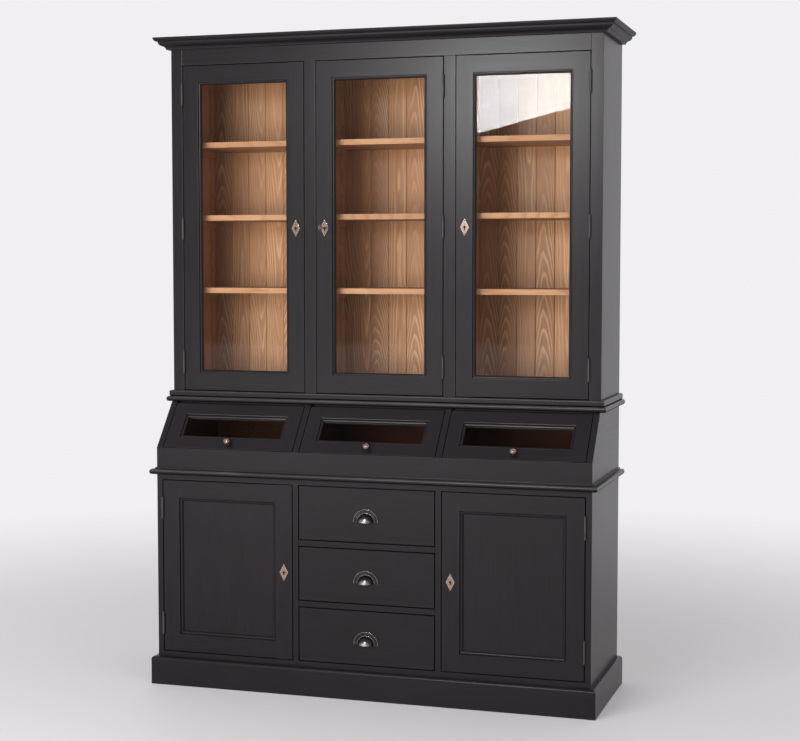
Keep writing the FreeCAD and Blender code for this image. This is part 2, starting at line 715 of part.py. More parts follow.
def leaf_frame(label, x, y, z, width, height, stile, top_rail, bottom_rail, pane, tilt=None):
    """Stiles, rails and the beads that hold a pane, as separate pieces, and the pane itself."""
    left = board(label + "_left_stile", x, y, z, stile, s.door_thickness, height, tilt)
    right = board(label + "_right_stile", x + width - stile, y, z, stile, s.door_thickness, height, tilt)
    window_x, window_z = x + stile, z + bottom_rail
    window_width, window_height = width - 2 * stile, height - top_rail - bottom_rail
    top = board(label + "_top_rail", window_x, y, window_z + window_height, window_width,
                s.door_thickness, top_rail, tilt)
    bottom = board(label + "_bottom_rail", window_x, y, z, window_width, s.door_thickness,
                   bottom_rail, tilt)
    quirk, groove, bead = mm(s.bead_quirk), mm(s.bead_quirk_depth), mm(s.bead_width)
    recess, seat, lip = mm(s.bead_recess), mm(s.glass_seat), mm(s.bead_lip)
    fall = seat - lip - recess
    bulge = (quirk + (bead - quirk) * BEAD_BULGE_SHARE, seat - lip - fall * BEAD_BULGE_SHARE)
    front_bead = [(0, groove), (quirk, groove), (quirk, recess), (bulge, (bead, seat - lip)),
                  (bead, seat), (0, seat)]
    rear, rear_from, rear_to = mm(s.rear_bead_width), mm(s.glass_seat + pane), mm(s.door_thickness)
    rear_bead = [(0, rear_from), (rear, rear_from), (rear, rear_to), (0, rear_to)]
    window = (window_x, y, window_z, window_width, window_height, tilt)
    beads = bead_round_window(label + "_front_bead", front_bead, *window)
    beads += bead_round_window(label + "_rear_bead", rear_bead, *window)
    pane_piece = board(label + "_pane", window_x + s.pane_clearance, y + s.glass_seat,
                       window_z + s.pane_clearance, window_width - 2 * s.pane_clearance, pane,
                       window_height - 2 * s.pane_clearance, tilt)
    return left, right, [top, bottom] + beads, pane_piece


frame_hinges = []
pivot_pins = []


def hinge(name, side, edge, y, z):
    """A butt hinge in the gap beside a door: the leaf on the frame, its pin, the leaf on the door.
    The edge is the frame's, and the door lies to its right (1) or left (-1)."""
    bottom = z - s.hinge_length / 2
    axis_x = edge + side * s.front_gap / 2
    axis_y = y - s.hinge_radius - s.hinge_standoff
    end = (s.hinge_length - s.hinge_middle) / 2
    middle = (bottom + end + s.knuckle_gap, s.hinge_middle - 2 * s.knuckle_gap)
    spans = {"frame": [(bottom, end), (bottom + s.hinge_length - end, end)], "door": [middle]}
    halves = {}
    for half in ("frame", "door"):
        start = 0 if half == "frame" else s.front_gap - s.hinge_leaf
        leaf_x = from_edge(side, edge, start, s.hinge_leaf)
        pieces = [board("%s_%s_leaf" % (name, half), leaf_x, y, bottom, s.hinge_leaf,
                        s.hinge_leaf_width, s.hinge_length)]
        for number, (low, height) in enumerate(spans[half]):
            part = "%s_%s_%d" % (name, half, number)
            pieces.append(board(part + "_tongue", leaf_x, axis_y, low, s.hinge_leaf,
                                y - axis_y + s.hinge_leaf, height))
            pieces.append(rod(part + "_knuckle", axis_x, axis_y, low, s.hinge_radius, height))
        bore = rod("%s_%s_bore" % (name, half), axis_x, axis_y, bottom - s.overrun,
                   s.hinge_pin_radius + s.pin_clearance, s.hinge_length + 2 * s.overrun)
        halves[half] = cut("%s_%s" % (name, half), fuse("%s_%s_leaf_set" % (name, half), pieces), bore)
    tips = [rod(name + "_pin", axis_x, axis_y, bottom, s.hinge_pin_radius, s.hinge_length)]
    for end_name, level in (("lower", bottom - s.hinge_radius), ("upper", bottom + s.hinge_length)):
        tip_z = level + s.hinge_radius / 2
        tip = bind(doc.addObject("Part::Sphere", "%s_%s_tip" % (name, end_name)), Radius=s.hinge_radius)
        place(tip, axis_x, axis_y, tip_z)
        tips.append(tip)
    barrel = rod(name + "_barrel", axis_x, axis_y, bottom, s.hinge_radius + s.overrun, s.hinge_length)
    balls = cut(name + "_tips", fuse(name + "_balls", tips[1:]), barrel)
    pivot_pins.append(fuse(name + "_pin_with_tips", [tips[0], balls]))
    frame_hinges.append(halves["frame"])
    return halves["door"]


def lock(label, side, edge, y, z):
    """A box lock behind a door's stile: its case, a diamond escutcheon and a sliding bolt.
    The edge is the door's free edge, and the stile lies to its right (1) or left (-1)."""
    key_x = edge + side * s.lock_backset
    rear = y + s.door_thickness
    case = board(label + "_case", from_edge(side, edge, s.lock_edge, s.lock_width), rear,
                 z - s.lock_height / 2, s.lock_width, s.lock_depth, s.lock_height)
    inside = board(label + "_inside", from_edge(side, edge, s.lock_edge + s.lock_wall,
                                                s.lock_width - 2 * s.lock_wall),
                   rear - s.overrun, z - s.lock_height / 2 + s.lock_wall, s.lock_width - 2 * s.lock_wall,
                   s.lock_depth - s.lock_wall + s.overrun, s.lock_height - 2 * s.lock_wall)
    slot_width = s.lock_edge + 2 * s.lock_wall
    slot_depth = s.bolt_thickness + 2 * s.bolt_clearance
    slot = board(label + "_bolt_slot", from_edge(side, edge, 0, slot_width), rear - s.overrun,
                 z + s.bolt_rise - s.bolt_clearance, slot_width,
                 slot_depth + s.overrun, s.bolt_height + 2 * s.bolt_clearance)
    half, tall = s.escutcheon_width / 2, s.escutcheon_height / 2
    diamond = padded(label + "_diamond", "XZ_Plane", [(half, 0), (0, tall), (-half, 0), (0, -tall)],
                     s.escutcheon_thickness)
    place(diamond, key_x, y, z)
    hole = keyhole(label + "_keyhole", key_x, y - s.escutcheon_thickness - s.overrun, z,
                   s.escutcheon_thickness + 2 * s.overrun)
    node(label + "_lock", cut(label + "_case", case, inside, slot),
         cut(label + "_escutcheon", diamond, hole))
    node(label + "_bolt", board(label + "_bolt_bar", from_edge(side, edge, s.lock_edge, s.bolt_length),
                                rear + s.bolt_clearance, z + s.bolt_rise, s.bolt_length,
                                s.bolt_thickness, s.bolt_height))
    return keyhole(label + "_stile_keyhole", key_x, y - s.overrun, z, s.door_thickness + 2 * s.overrun)


def door(label, hinge_side, x, y, z, width, height, stile, bottom_rail, pane, pane_name, hinge_levels):
    """An inset door in an opening. It hangs on its left edge (-1) or its right edge (1)."""
    left_x, low = x + s.front_gap, z + s.front_gap
    leaf_width, leaf_height = width - 2 * s.front_gap, height - 2 * s.front_gap
    left, right, rest, filling = leaf_frame(label, left_x, y, low, leaf_width, leaf_height,
                                            stile, stile, bottom_rail, pane)
    middle = z + height / 2
    if hinge_side < 0:
        hung_edge, free_edge, free_stile = x, left_x + leaf_width, right
    else:
        hung_edge, free_edge, free_stile = x + width, left_x, left
    hole = lock(label, hinge_side, free_edge, y, middle)
    bored = cut(label + "_lock_stile", free_stile, hole)
    hung_stile = left if hinge_side < 0 else right
    node(label + "_frame", hung_stile, bored, *rest)
    node("%s_%s" % (label, pane_name), filling)
    levels = {"low": low + s.hinge_end_distance, "middle": middle,
              "high": low + leaf_height - s.hinge_end_distance}
    node(label + "_hinges", *[
        hinge("%s_hinge_%s" % (label, level), -hinge_side, hung_edge, y, levels[level])
        for level in hinge_levels])


UPPER_DOORS = (("upper_left_door", -1), ("upper_middle_door", 1), ("upper_right_door", 1))
for bay, (label, hung) in enumerate(UPPER_DOORS):
    door(label, hung, upper_bay_left[bay], upper_front, upper_floor, upper_bay, s.upper_opening_height,
         s.upper_door_stile, s.upper_door_bottom_rail, s.glass_thickness, "glass",
         ("low", "middle", "high"))
LOWER_DOORS = (("lower_left_door", -1), ("lower_right_door", 1))
for bay, (label, hung) in zip(cupboard_bays, LOWER_DOORS):
    door(label, hung, base_bay_left[bay], front, base_floor, base_bay, s.base_opening_height,
         s.base_door_stile, s.base_door_stile, s.panel_thickness, "panel", ("low", "high"))
node("frame_hinges", *frame_hinges)

# Key in the lock of the middle upper door: a ring bow, a shank and a bit that hangs down
key_x = upper_bay_left[1] + s.front_gap + s.lock_backset
key_z = upper_floor + s.upper_opening_height / 2
bit_y = upper_front + s.door_thickness + s.bolt_thickness + 2 * s.bolt_clearance
shank_front = upper_front - s.key_reach
bow = bind(doc.addObject("Part::Torus", "key_bow"), Radius1=s.key_bow_radius, Radius2=s.key_bow_wire)
place(bow, key_x, shank_front - s.key_bow_radius, key_z, ALONG_X)
node("key", fuse("key_whole", [
    bow,
    rod("key_shank", key_x, shank_front, key_z, s.key_shank_radius,
        bit_y + s.key_bit_width - shank_front, ALONG_Y),
    board("key_bit", key_x - s.key_bit_thickness / 2, bit_y, key_z - s.key_bit_length,
          s.key_bit_thickness, s.key_bit_width, s.key_bit_length),
]))


def cup_pull(label, x, y, z):
    """A cup pull: a half-round flange with a half dome that is open below, seen from the front."""
    radius = s.pull_width / 2
    cup = radius - s.pull_flange
    flange = rod(label + "_flange", x, y, z, radius, s.pull_plate, FORWARD)
    dome = bind(doc.addObject("Part::Ellipsoid", label + "_dome"), Radius1=s.pull_depth, Radius2=cup)
    hollow = bind(doc.addObject("Part::Ellipsoid", label + "_hollow"),
                  Radius1=s.pull_depth - s.pull_wall, Radius2=cup - s.pull_wall)
    for form, size in ((dome, cup), (hollow, cup - s.pull_wall)):
        bind(form, Radius3=size)
        form.Angle1 = -90
        form.Angle2 = 90
        place(form, x, y, z, FORWARD)
    left = x - radius - s.overrun
    tool_width = s.pull_width + 2 * s.overrun
    below = board(label + "_below", left, y - s.pull_depth - s.overrun, z - radius - s.overrun,
                  tool_width, 2 * s.pull_depth + 2 * s.overrun, radius + s.overrun)
    behind = board(label + "_behind", left, y, z - s.overrun, tool_width, s.pull_depth + s.overrun,
                   radius + 2 * s.overrun)
    node(label, cut(label + "_whole", fuse(label + "_form", [flange, dome]), hollow, below, behind))


# Drawers: a front flush with the case, and a box of sides, back and bottom that runs on the rails
DRAWER_NAMES = ("bottom_drawer", "middle_drawer", "top_drawer")
box_depth = s.case_depth - s.back_thickness - s.drawer_front_thickness - s.drawer_back_clearance
for label, level in zip(DRAWER_NAMES, drawer_floor):
    face_height = drawer_opening - 2 * s.front_gap
    node(label + "_front", board(label + "_face", drawer_left + s.front_gap, front, level + s.front_gap,
                                 base_bay - 2 * s.front_gap, s.drawer_front_thickness, face_height))
    box_y = front + s.drawer_front_thickness
    side_height = drawer_opening - s.drawer_head_clearance
    side_left = drawer_left + s.drawer_side_clearance
    side_right = drawer_left + base_bay - s.drawer_side_clearance - s.drawer_side
    between = side_right - side_left - s.drawer_side
    inside_left = side_left + s.drawer_side
    inside_depth = box_depth - s.drawer_side
    node(label + "_box",
         board(label + "_left_side", side_left, box_y, level, s.drawer_side, box_depth, side_height),
         board(label + "_right_side", side_right, box_y, level, s.drawer_side, box_depth, side_height),
         board(label + "_back", inside_left, box_y + inside_depth, level, between, s.drawer_side,
               side_height),
         board(label + "_bottom", inside_left, box_y, level + s.drawer_bottom_rise, between,
               inside_depth, s.drawer_bottom))
    cup_pull(label + "_pull", 0, front, level + drawer_opening / 2 - s.pull_width / 4)

# Flaps: glazed frames on the slope, each with a knob, turning on pins near their top edge
FLAP_NAMES = ("left_flap", "middle_flap", "right_flap")
for bay, label in enumerate(FLAP_NAMES):
    left_x = base_bay_left[bay] + s.front_gap
    flap_width = base_bay - 2 * s.front_gap
    left, right, rest, filling = leaf_frame(label, left_x, 0, s.front_gap, flap_width, flap_length,
                                            s.flap_stile, s.flap_rail, s.flap_rail,
                                            s.glass_thickness, slope)
    reach = s.flap_pin_reach + s.overrun
    bored = []
    for name, stile, bore_x in (("left", left, left_x - s.overrun),
                                ("right", right, left_x + flap_width - s.flap_pin_reach)):
        bore = rod("%s_%s_bore" % (label, name), bore_x, pivot_depth, pivot_height,
                   s.flap_pin_radius + s.pin_clearance, reach, ALONG_X, slope)
        bored.append(cut("%s_%s_bored" % (label, name), stile, bore))
    node(label + "_frame", *bored, *rest)
    node(label + "_glass", filling)
    knob_x = base_bay_left[bay] + base_bay / 2
    knob_height = s.front_gap + s.flap_rail / 2
    head = bind(doc.addObject("Part::Ellipsoid", label + "_knob_head"), Radius1=s.knob_head,
                Radius2=s.knob_radius, Radius3=s.knob_radius)
    head.Angle1 = -90
    head.Angle2 = 90
    place(head, knob_x, s.knob_head - s.knob_projection, knob_height, FORWARD, slope)
    node(label + "_knob", fuse(label + "_knob_whole", [
        rod(label + "_knob_rose", knob_x, 0, knob_height, s.knob_rose_radius, s.knob_rose_height,
            FORWARD, slope),
        rod(label + "_knob_neck", knob_x, 0, knob_height, s.knob_neck_radius,
            s.knob_projection - s.knob_head, FORWARD, slope),
        head]))

# Flap pins: short ones in the outer cheeks, and one through each inner cheek for two flaps
pin_outreach = s.front_gap + s.flap_pin_reach - s.knuckle_gap
pin_spans = [(upright_lefts[0] + s.upright_thickness - s.flap_pin_seat, s.flap_pin_seat)]
pin_spans += [(upright_lefts[i] - pin_outreach, s.upright_thickness) for i in range(1, BAYS)]
pin_spans.append((upright_lefts[BAYS] - pin_outreach, s.flap_pin_seat))
for number, (start, seat) in enumerate(pin_spans):
    ends = 1 if number in (0, BAYS) else 2
    length = seat + ends * pin_outreach
    pivot_pins.append(rod("flap_pin_%d" % number, start, pivot_depth, pivot_height, s.flap_pin_radius,
                          length, ALONG_X, slope))
node("pivot_pins", *pivot_pins)

doc.recompute()
faults = [item.Name for item in doc.Objects if "Invalid" in item.State or "Error" in item.State]
faults += [item.Label for item in nodes if item.Shape.isNull() or not item.Shape.isValid()]
if faults:
    raise RuntimeError("failed: " + ", ".join(faults))

os.makedirs("parts", exist_ok=True)
for item in nodes:
    item.Shape.exportStep("parts/%s.step" % item.Label)
print(len(nodes), "nodes,", sum(len(item.Shape.Solids) for item in nodes), "solids")
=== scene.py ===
import bmesh
import bpy
import json
import math
from mathutils import Matrix, Quaternion, Vector

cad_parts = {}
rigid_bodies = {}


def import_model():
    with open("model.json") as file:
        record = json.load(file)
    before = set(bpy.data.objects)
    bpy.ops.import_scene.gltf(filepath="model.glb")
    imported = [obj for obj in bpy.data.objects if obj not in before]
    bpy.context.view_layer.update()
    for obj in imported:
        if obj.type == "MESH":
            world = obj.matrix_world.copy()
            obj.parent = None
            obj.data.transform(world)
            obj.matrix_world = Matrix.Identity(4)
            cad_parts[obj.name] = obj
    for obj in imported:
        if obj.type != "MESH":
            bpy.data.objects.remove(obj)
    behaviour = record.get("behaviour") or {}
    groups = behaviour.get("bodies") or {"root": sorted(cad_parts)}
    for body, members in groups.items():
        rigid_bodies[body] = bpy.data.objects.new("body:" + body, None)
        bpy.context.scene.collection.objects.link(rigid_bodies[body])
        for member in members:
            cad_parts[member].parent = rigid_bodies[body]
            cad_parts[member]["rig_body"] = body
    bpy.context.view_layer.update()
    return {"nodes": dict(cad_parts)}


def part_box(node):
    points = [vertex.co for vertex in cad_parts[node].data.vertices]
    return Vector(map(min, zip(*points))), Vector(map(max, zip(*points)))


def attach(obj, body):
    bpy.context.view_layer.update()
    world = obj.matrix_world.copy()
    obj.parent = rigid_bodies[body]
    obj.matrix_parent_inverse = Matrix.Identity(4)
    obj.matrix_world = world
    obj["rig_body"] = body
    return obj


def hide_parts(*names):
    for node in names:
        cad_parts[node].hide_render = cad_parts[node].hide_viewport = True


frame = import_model()
scene = bpy.context.scene

# PLINTH
# Three boards mitred at the front corners, standing a little proud of the case and rounded on
# their top edge. They are softwood under two coats of charcoal paint, rubbed at the arrises.
CONTACT = 2e-5
WELD = 1e-5
LEAST_COVER, LEAST_SPLIT = 1e-4, 1e-3
FLAT, SHARP, CREASED = math.radians(0.5), math.radians(32), math.radians(50)
EASE_STEPS, EASE_PROFILE = 2, 0.6
NO_AREA, SQUARE = 1e-12, 0.05
TONE_STEP, TONE_PER_LETTER = 0.618, 0.37


def solids_of(node):
    """The separate solids of a CAD piece. One ends where its triangles have closed up."""
    mesh = frame["nodes"][node].data
    points = [tuple(vertex.co) for vertex in mesh.vertices]
    solids, rings, loose = [], [], {}
    for polygon in mesh.polygons:
        ring = [points[number] for number in polygon.vertices]
        rings.append(ring)
        for start, end in zip(ring, ring[1:] + ring[:1]):
            if loose.get((end, start)):
                loose[end, start] -= 1
                if not loose[end, start]:
                    del loose[end, start]
            else:
                loose[start, end] = loose.get((start, end), 0) + 1
        if not loose:
            solids.append(rings)
            rings = []
    return solids + ([rings] if rings else [])


def hull_of(rings):
    """The box round a solid, turned as its largest faces are: its three axes with their ends."""
    faces = {}
    for ring in rings:
        corners = [Vector(point) for point in ring]
        turned = (corners[1] - corners[0]).cross(corners[2] - corners[0])
        if turned.length > NO_AREA:
            way = turned.normalized()
            key = max(tuple(round(part, 2) + 0.0 for part in sign * way) for sign in (1, -1))
            faces[key] = faces.get(key, 0.0) + turned.length
    ways = [Vector(key).normalized() for key in sorted(faces, key=faces.get, reverse=True)]
    first = ways[0]
    second = next((way for way in ways if abs(way.dot(first)) < SQUARE), first.orthogonal())
    second = (second - first * second.dot(first)).normalized()
    hull = []
    for axis in (first, second, first.cross(second)):
        places = [axis.dot(point) for ring in rings for point in map(Vector, ring)]
        hull.append((axis, min(places), max(places)))
    return hull


def part_inside(start, end, hull):
    """The stretch of an edge that lies in or against another solid's box, as shares of the edge."""
    first, last = 0.0, 1.0
    for axis, low, high in hull:
        here, there = axis.dot(start), axis.dot(end)
        low, high = low - CONTACT, high + CONTACT
        if abs(there - here) < CONTACT:
            if not low < here < high:
                return None
            continue
        shares = sorted(((low - here) / (there - here), (high - here) / (there - here)))
        first, last = max(first, shares[0]), min(last, shares[1])
    return (first, last) if last - first > LEAST_COVER else None


def free_edges(sharp, neighbours):
    """Sharp edges without the stretches that a neighbour covers, where paint fills the joint."""
    free = []
    for edge in sharp:
        start, end = edge.verts[0], edge.verts[1]
        stretches = [part_inside(start.co, end.co, hull) for hull in neighbours]
        stretches = [stretch for stretch in stretches if stretch]
        marks = {min(max(mark, 0.0), 1.0) for stretch in stretches for mark in stretch}
        marks = sorted(marks | {0.0, 1.0})
        marks = [mark for number, mark in enumerate(marks)
                 if not number or mark - marks[number - 1] > LEAST_SPLIT]
        begun, rest = 0.0, edge
        for mark in marks[1:]:
            middle = (begun + mark) / 2
            covered = any(stretch[0] <= middle <= stretch[1] for stretch in stretches)
            piece = rest
            if mark < 1.0 - LEAST_SPLIT:
                rest, corner = bmesh.utils.edge_split(piece, start, (mark - begun) / (1.0 - begun))
                piece, rest = (rest, piece) if start in rest.verts else (piece, rest)
                start = corner
            if not covered:
                free.append(piece)
            begun = mark
    return free


def eased_solid(rings, ease, cuts, neighbours):
    """A solid with its triangles joined into whole faces and its sharp edges eased, apart from
    those that lie against a neighbour. Cuts part a face where its finish changes."""
    solid = bmesh.new()
    known = {}
    for ring in rings:
        for point in ring:
            if point not in known:
                known[point] = solid.verts.new(point)
        corners = [known[point] for point in ring]
        if len(set(corners)) == 3 and not solid.faces.get(corners):
            solid.faces.new(corners)
    bmesh.ops.remove_doubles(solid, verts=solid.verts[:], dist=WELD)
    bmesh.ops.dissolve_limit(solid, angle_limit=FLAT, verts=solid.verts[:], edges=solid.edges[:])
    sharp = [edge for edge in solid.edges
             if len(edge.link_faces) == 2 and edge.calc_face_angle() > SHARP]
    arris = solid.faces.layers.float.new("arris")
    sharp = free_edges(sharp, neighbours) if ease else []
    if sharp:
        eased = bmesh.ops.bevel(solid, geom=sharp, offset=ease, segments=EASE_STEPS,
                                profile=EASE_PROFILE, affect="EDGES", clamp_overlap=True)
        for face in eased["faces"]:
            face[arris] = 1.0
    for point, normal in cuts:
        everything = solid.verts[:] + solid.edges[:] + solid.faces[:]
        bmesh.ops.bisect_plane(solid, geom=everything, plane_co=point, plane_no=normal, dist=1e-6)
    bmesh.ops.recalc_face_normals(solid, faces=solid.faces[:])
    return solid


def placed(name, mesh):
    """A piece at the origin that shows a mesh."""
    piece = bpy.data.objects.new(name, mesh)
    scene.collection.objects.link(piece)
    return piece


def as_mesh(piece):
    """What a piece looks like once its modifiers have run, as a plain mesh."""
    graph = bpy.context.evaluated_depsgraph_get()
    return bpy.data.meshes.new_from_object(piece.evaluated_get(graph))


def body_of(node):
    return frame["nodes"][node]["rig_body"]


def dressed(name, node, finishes, ease=0.001, pick=None, cuts=(), only=None, seams=False,
            wear_and_light=None):
    """A copy of a CAD piece to look at, with eased edges, on the body that the piece rides on.
    Each vertex keeps its place along and across the grain of its own board, and its board's tone.
    The grain runs along the board's longest side. Seams stay open where paint doesn't fill them.
    An eased edge is worn paler, unless the function passed for wear and light gives each face its
    own value: above 1 a painted highlight, below 0 painted shade."""
    vertices, faces, kinds, places, tones, arrises = [], [], [], [], [], []
    solids = solids_of(node)
    hulls = [] if seams or not ease else [hull_of(rings) for rings in solids]
    for number, rings in enumerate(solids):
        if only is not None and number not in only:
            continue
        solid = eased_solid(rings, ease, cuts, hulls[:number] + hulls[number + 1:])
        low = Vector(min(vertex.co[axis] for vertex in solid.verts) for axis in range(3))
        high = Vector(max(vertex.co[axis] for vertex in solid.verts) for axis in range(3))
        size, middle = high - low, (low + high) / 2
        order = sorted(range(3), key=lambda axis: -size[axis])
        tone = (number * TONE_STEP + len(name) * TONE_PER_LETTER) % 1.0
        start = len(vertices)
        solid.verts.index_update()
        for vertex in solid.verts:
            vertices.append(vertex.co.copy())
            places.append([(vertex.co - middle)[axis] for axis in order])
            tones.append(tone)
        arris = solid.faces.layers.float["arris"]
        for face in solid.faces:
            faces.append([start + vertex.index for vertex in face.verts])
            centre = face.calc_center_median()
            arrises.append(wear_and_light(face[arris], centre, face.normal) if wear_and_light else face[arris])
            kinds.append(pick(number, centre, face.normal) if pick else 0)
        solid.free()
    mesh = bpy.data.meshes.new(name)
    mesh.from_pydata(vertices, [], faces)
    for finish in finishes:
        mesh.materials.append(finish)
    mesh.polygons.foreach_set("material_index", kinds)
    grain = mesh.attributes.new("grain_place", "FLOAT_VECTOR", "POINT")
    grain.data.foreach_set("vector", [number for place in places for number in place])
    mesh.attributes.new("tone", "FLOAT", "POINT").data.foreach_set("value", tones)
    mesh.attributes.new("arris", "FLOAT", "FACE").data.foreach_set("value", arrises)
    mesh.shade_smooth()
    mesh.set_sharp_from_angle(angle=CREASED)
    rough = placed(name + "_rough", mesh)
    even = rough.modifiers.new("even_shading", "WEIGHTED_NORMAL")
    even.keep_sharp = True
    final = as_mesh(rough)
    bpy.data.objects.remove(rough)
    final.name = name
    piece = placed(name, final)
    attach(piece, body_of(node))
    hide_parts(node)
    return piece


class Wire:
    """A socket in a material. Sums of wires add Math nodes, and node() adds any other node."""

    def __init__(self, tree, socket=None):
        self.tree = tree
        self.socket = socket

    def node(self, kind, settings=None, sockets=None, output=0):
        made = self.tree.nodes.new(kind)
        for name, value in (settings or {}).items():
            if name == "stops":
                ramp = made.color_ramp.elements
                while len(ramp) < len(value):
                    ramp.new(0.5)
                for stop, (place, grey) in zip(ramp, value):
                    stop.position = place
                    stop.color = (grey, grey, grey, 1)
            else:
                setattr(made, name, value)
        for name, value in (sockets or {}).items():
            if isinstance(value, Wire):
                self.tree.links.new(value.socket, made.inputs[name])
            else:
                made.inputs[name].default_value = value
        return Wire(self.tree, made.outputs[output])

    def into(self, node, name):
        self.tree.links.new(self.socket, node.inputs[name])

    def maths(self, operation, *others):
        values = dict(enumerate((self,) + others))
        return self.node("ShaderNodeMath", {"operation": operation}, values)

    def __add__(self, other):
        return self.maths("ADD", other)

    def __sub__(self, other):
        return self.maths("SUBTRACT", other)

    def __mul__(self, other):
        return self.maths("MULTIPLY", other)

    def __radd__(self, other):
        return self.maths("ADD", other)

    def __rsub__(self, other):
        return self.node("ShaderNodeMath", {"operation": "SUBTRACT"}, {0: other, 1: self})

    def clamp(self, low, high):
        """0 where the value is at the low end, 1 at the high end, smooth between them."""
        return self.node("ShaderNodeMapRange", {"interpolation_type": "SMOOTHSTEP"},
                         {"Value": self, "From Min": low, "From Max": high})

    def blend(self, first, second):
        """The first colour where this wire is 0, the second where it is 1."""
        return self.node("ShaderNodeMix", {"data_type": "RGBA"}, {0: self, 6: first, 7: second}, 2)

    def point(self, x, y, z):
        return self.node("ShaderNodeCombineXYZ", {}, {0: x, 1: y, 2: z})

    def place(self):
        """The place on the piece, in metres."""
        return self.node("ShaderNodeTexCoord", {}, {}, "Object")

    def attribute(self, name, output="Fac"):
        return self.node("ShaderNodeAttribute", {"attribute_name": name}, {}, output)

    def noise(self, place, scale, detail=2.0, roughness=0.5):
        return self.node("ShaderNodeTexNoise", {}, {"Vector": place, "Scale": scale,
                                                    "Detail": detail, "Roughness": roughness})

    def bump(self, strength, distance):
        return self.node("ShaderNodeBump", {}, {"Height": self, "Strength": strength,
                                                "Distance": distance})


def shade(red, green, blue):
    """A colour given as 0 to 255 on a screen, as light."""
    parts = [value / 255 for value in (red, green, blue)]
    return tuple(value / 12.92 if value <= 0.04045 else ((value + 0.055) / 1.055) ** 2.4
                 for value in parts) + (1.0,)


def new_finish(name):
    """An empty material with its shader and a wire to build from."""
    finish = bpy.data.materials.new(name)
    finish.use_nodes = True
    return finish, finish.node_tree.nodes["Principled BSDF"], Wire(finish.node_tree)


def grain_of(wire):
    """Places along, across and through the board, and the board's own tone."""
    place = wire.attribute("grain_place", "Vector")
    tone = wire.attribute("tone")
    axes = [wire.node("ShaderNodeSeparateXYZ", {}, {0: place}, axis) for axis in range(3)]
    return axes + [tone]


STROKES_ALONG, STROKES_ACROSS = 7.0, 240.0
PAINT_SHIFT = 40.0
PAINT_DARK, PAINT_PALE = shade(21, 18, 20), shade(28, 24, 27)
RUB_AND_HIGHLIGHT_PAINT, PAINTED_SHADE_COLOUR = shade(84, 81, 80), shade(5, 4, 5)
RUB_LEAST, RUB_PATCHY = 0.15, 0.15
SHADE_COVER = 0.9
RELIEF = 0.0005


def brushed_paint(name, dull, lift):
    """Charcoal paint with strokes along each board. By its arris value a face is worn paler
    (up to 1), given a painted highlight (above 1) or given painted shade (below 0).
    """
    finish, surface, wire = new_finish(name)
    along, across, through, tone = grain_of(wire)
    stroke_place = wire.point(along * STROKES_ALONG + tone * PAINT_SHIFT,
                              across * STROKES_ACROSS, through * STROKES_ACROSS)
    strokes = wire.noise(stroke_place, 1.0, 4.0, 0.6)
    place = wire.place()
    cloud = wire.noise(place, 2.3, 3.0)
    speck = wire.noise(place, 900.0, 1.0)
    arris = wire.attribute("arris")
    patchy = wire.noise(place, 6.0, 5.0).clamp(0.35, 0.75)
    # An eased edge (1) is worn paler; values above 1 are painted highlights, and values below 0
    # painted shade in joints, quirks and under roundings.
    rub_and_highlight = arris.maths("MAXIMUM", 0.0) * (RUB_LEAST + patchy * RUB_PATCHY)
    painted_shade = arris.maths("MINIMUM", 0.0) * -SHADE_COVER
    shaded = (strokes * 0.7 + cloud * 0.3).clamp(0.3, 0.7)
    coat = rub_and_highlight.blend(shaded.blend(PAINT_DARK, PAINT_PALE), RUB_AND_HIGHLIGHT_PAINT)
    painted_shade.blend(coat, PAINTED_SHADE_COLOUR).into(surface, "Base Color")
    (dull + strokes * 0.09 + cloud * 0.03 + painted_shade * 0.5).into(surface, "Roughness")
    (strokes * 0.8 + speck * 0.2).bump(lift, RELIEF).into(surface, "Normal")
    surface.inputs["Specular IOR Level"].default_value = 0.14
    return finish


charcoal_paint = brushed_paint("charcoal_paint", 0.24, 0.08)
dressed("plinth_boards", "plinth", [charcoal_paint], ease=0.0015)

# BASE CASE
# Bottom, top, two sides and two partitions of edge-glued pine, housed and glued. Outside and on
# the front edges they are painted; inside they are left as waxed honey-coloured wood.
CASE_HALF = 0.75
BASE_FRONT = -0.223
EDGE_BAND = 0.0025
DOOR_BAND = 0.06
RINGS = 120.0
RING_STOPS = [(0.0, 0.02), (0.5, 0.15), (0.86, 1.0), (1.0, 0.05)]
HEART_SWAY, HEART_ROUND = 0.03, 0.0002
WOOD_SHIFT = 37.0


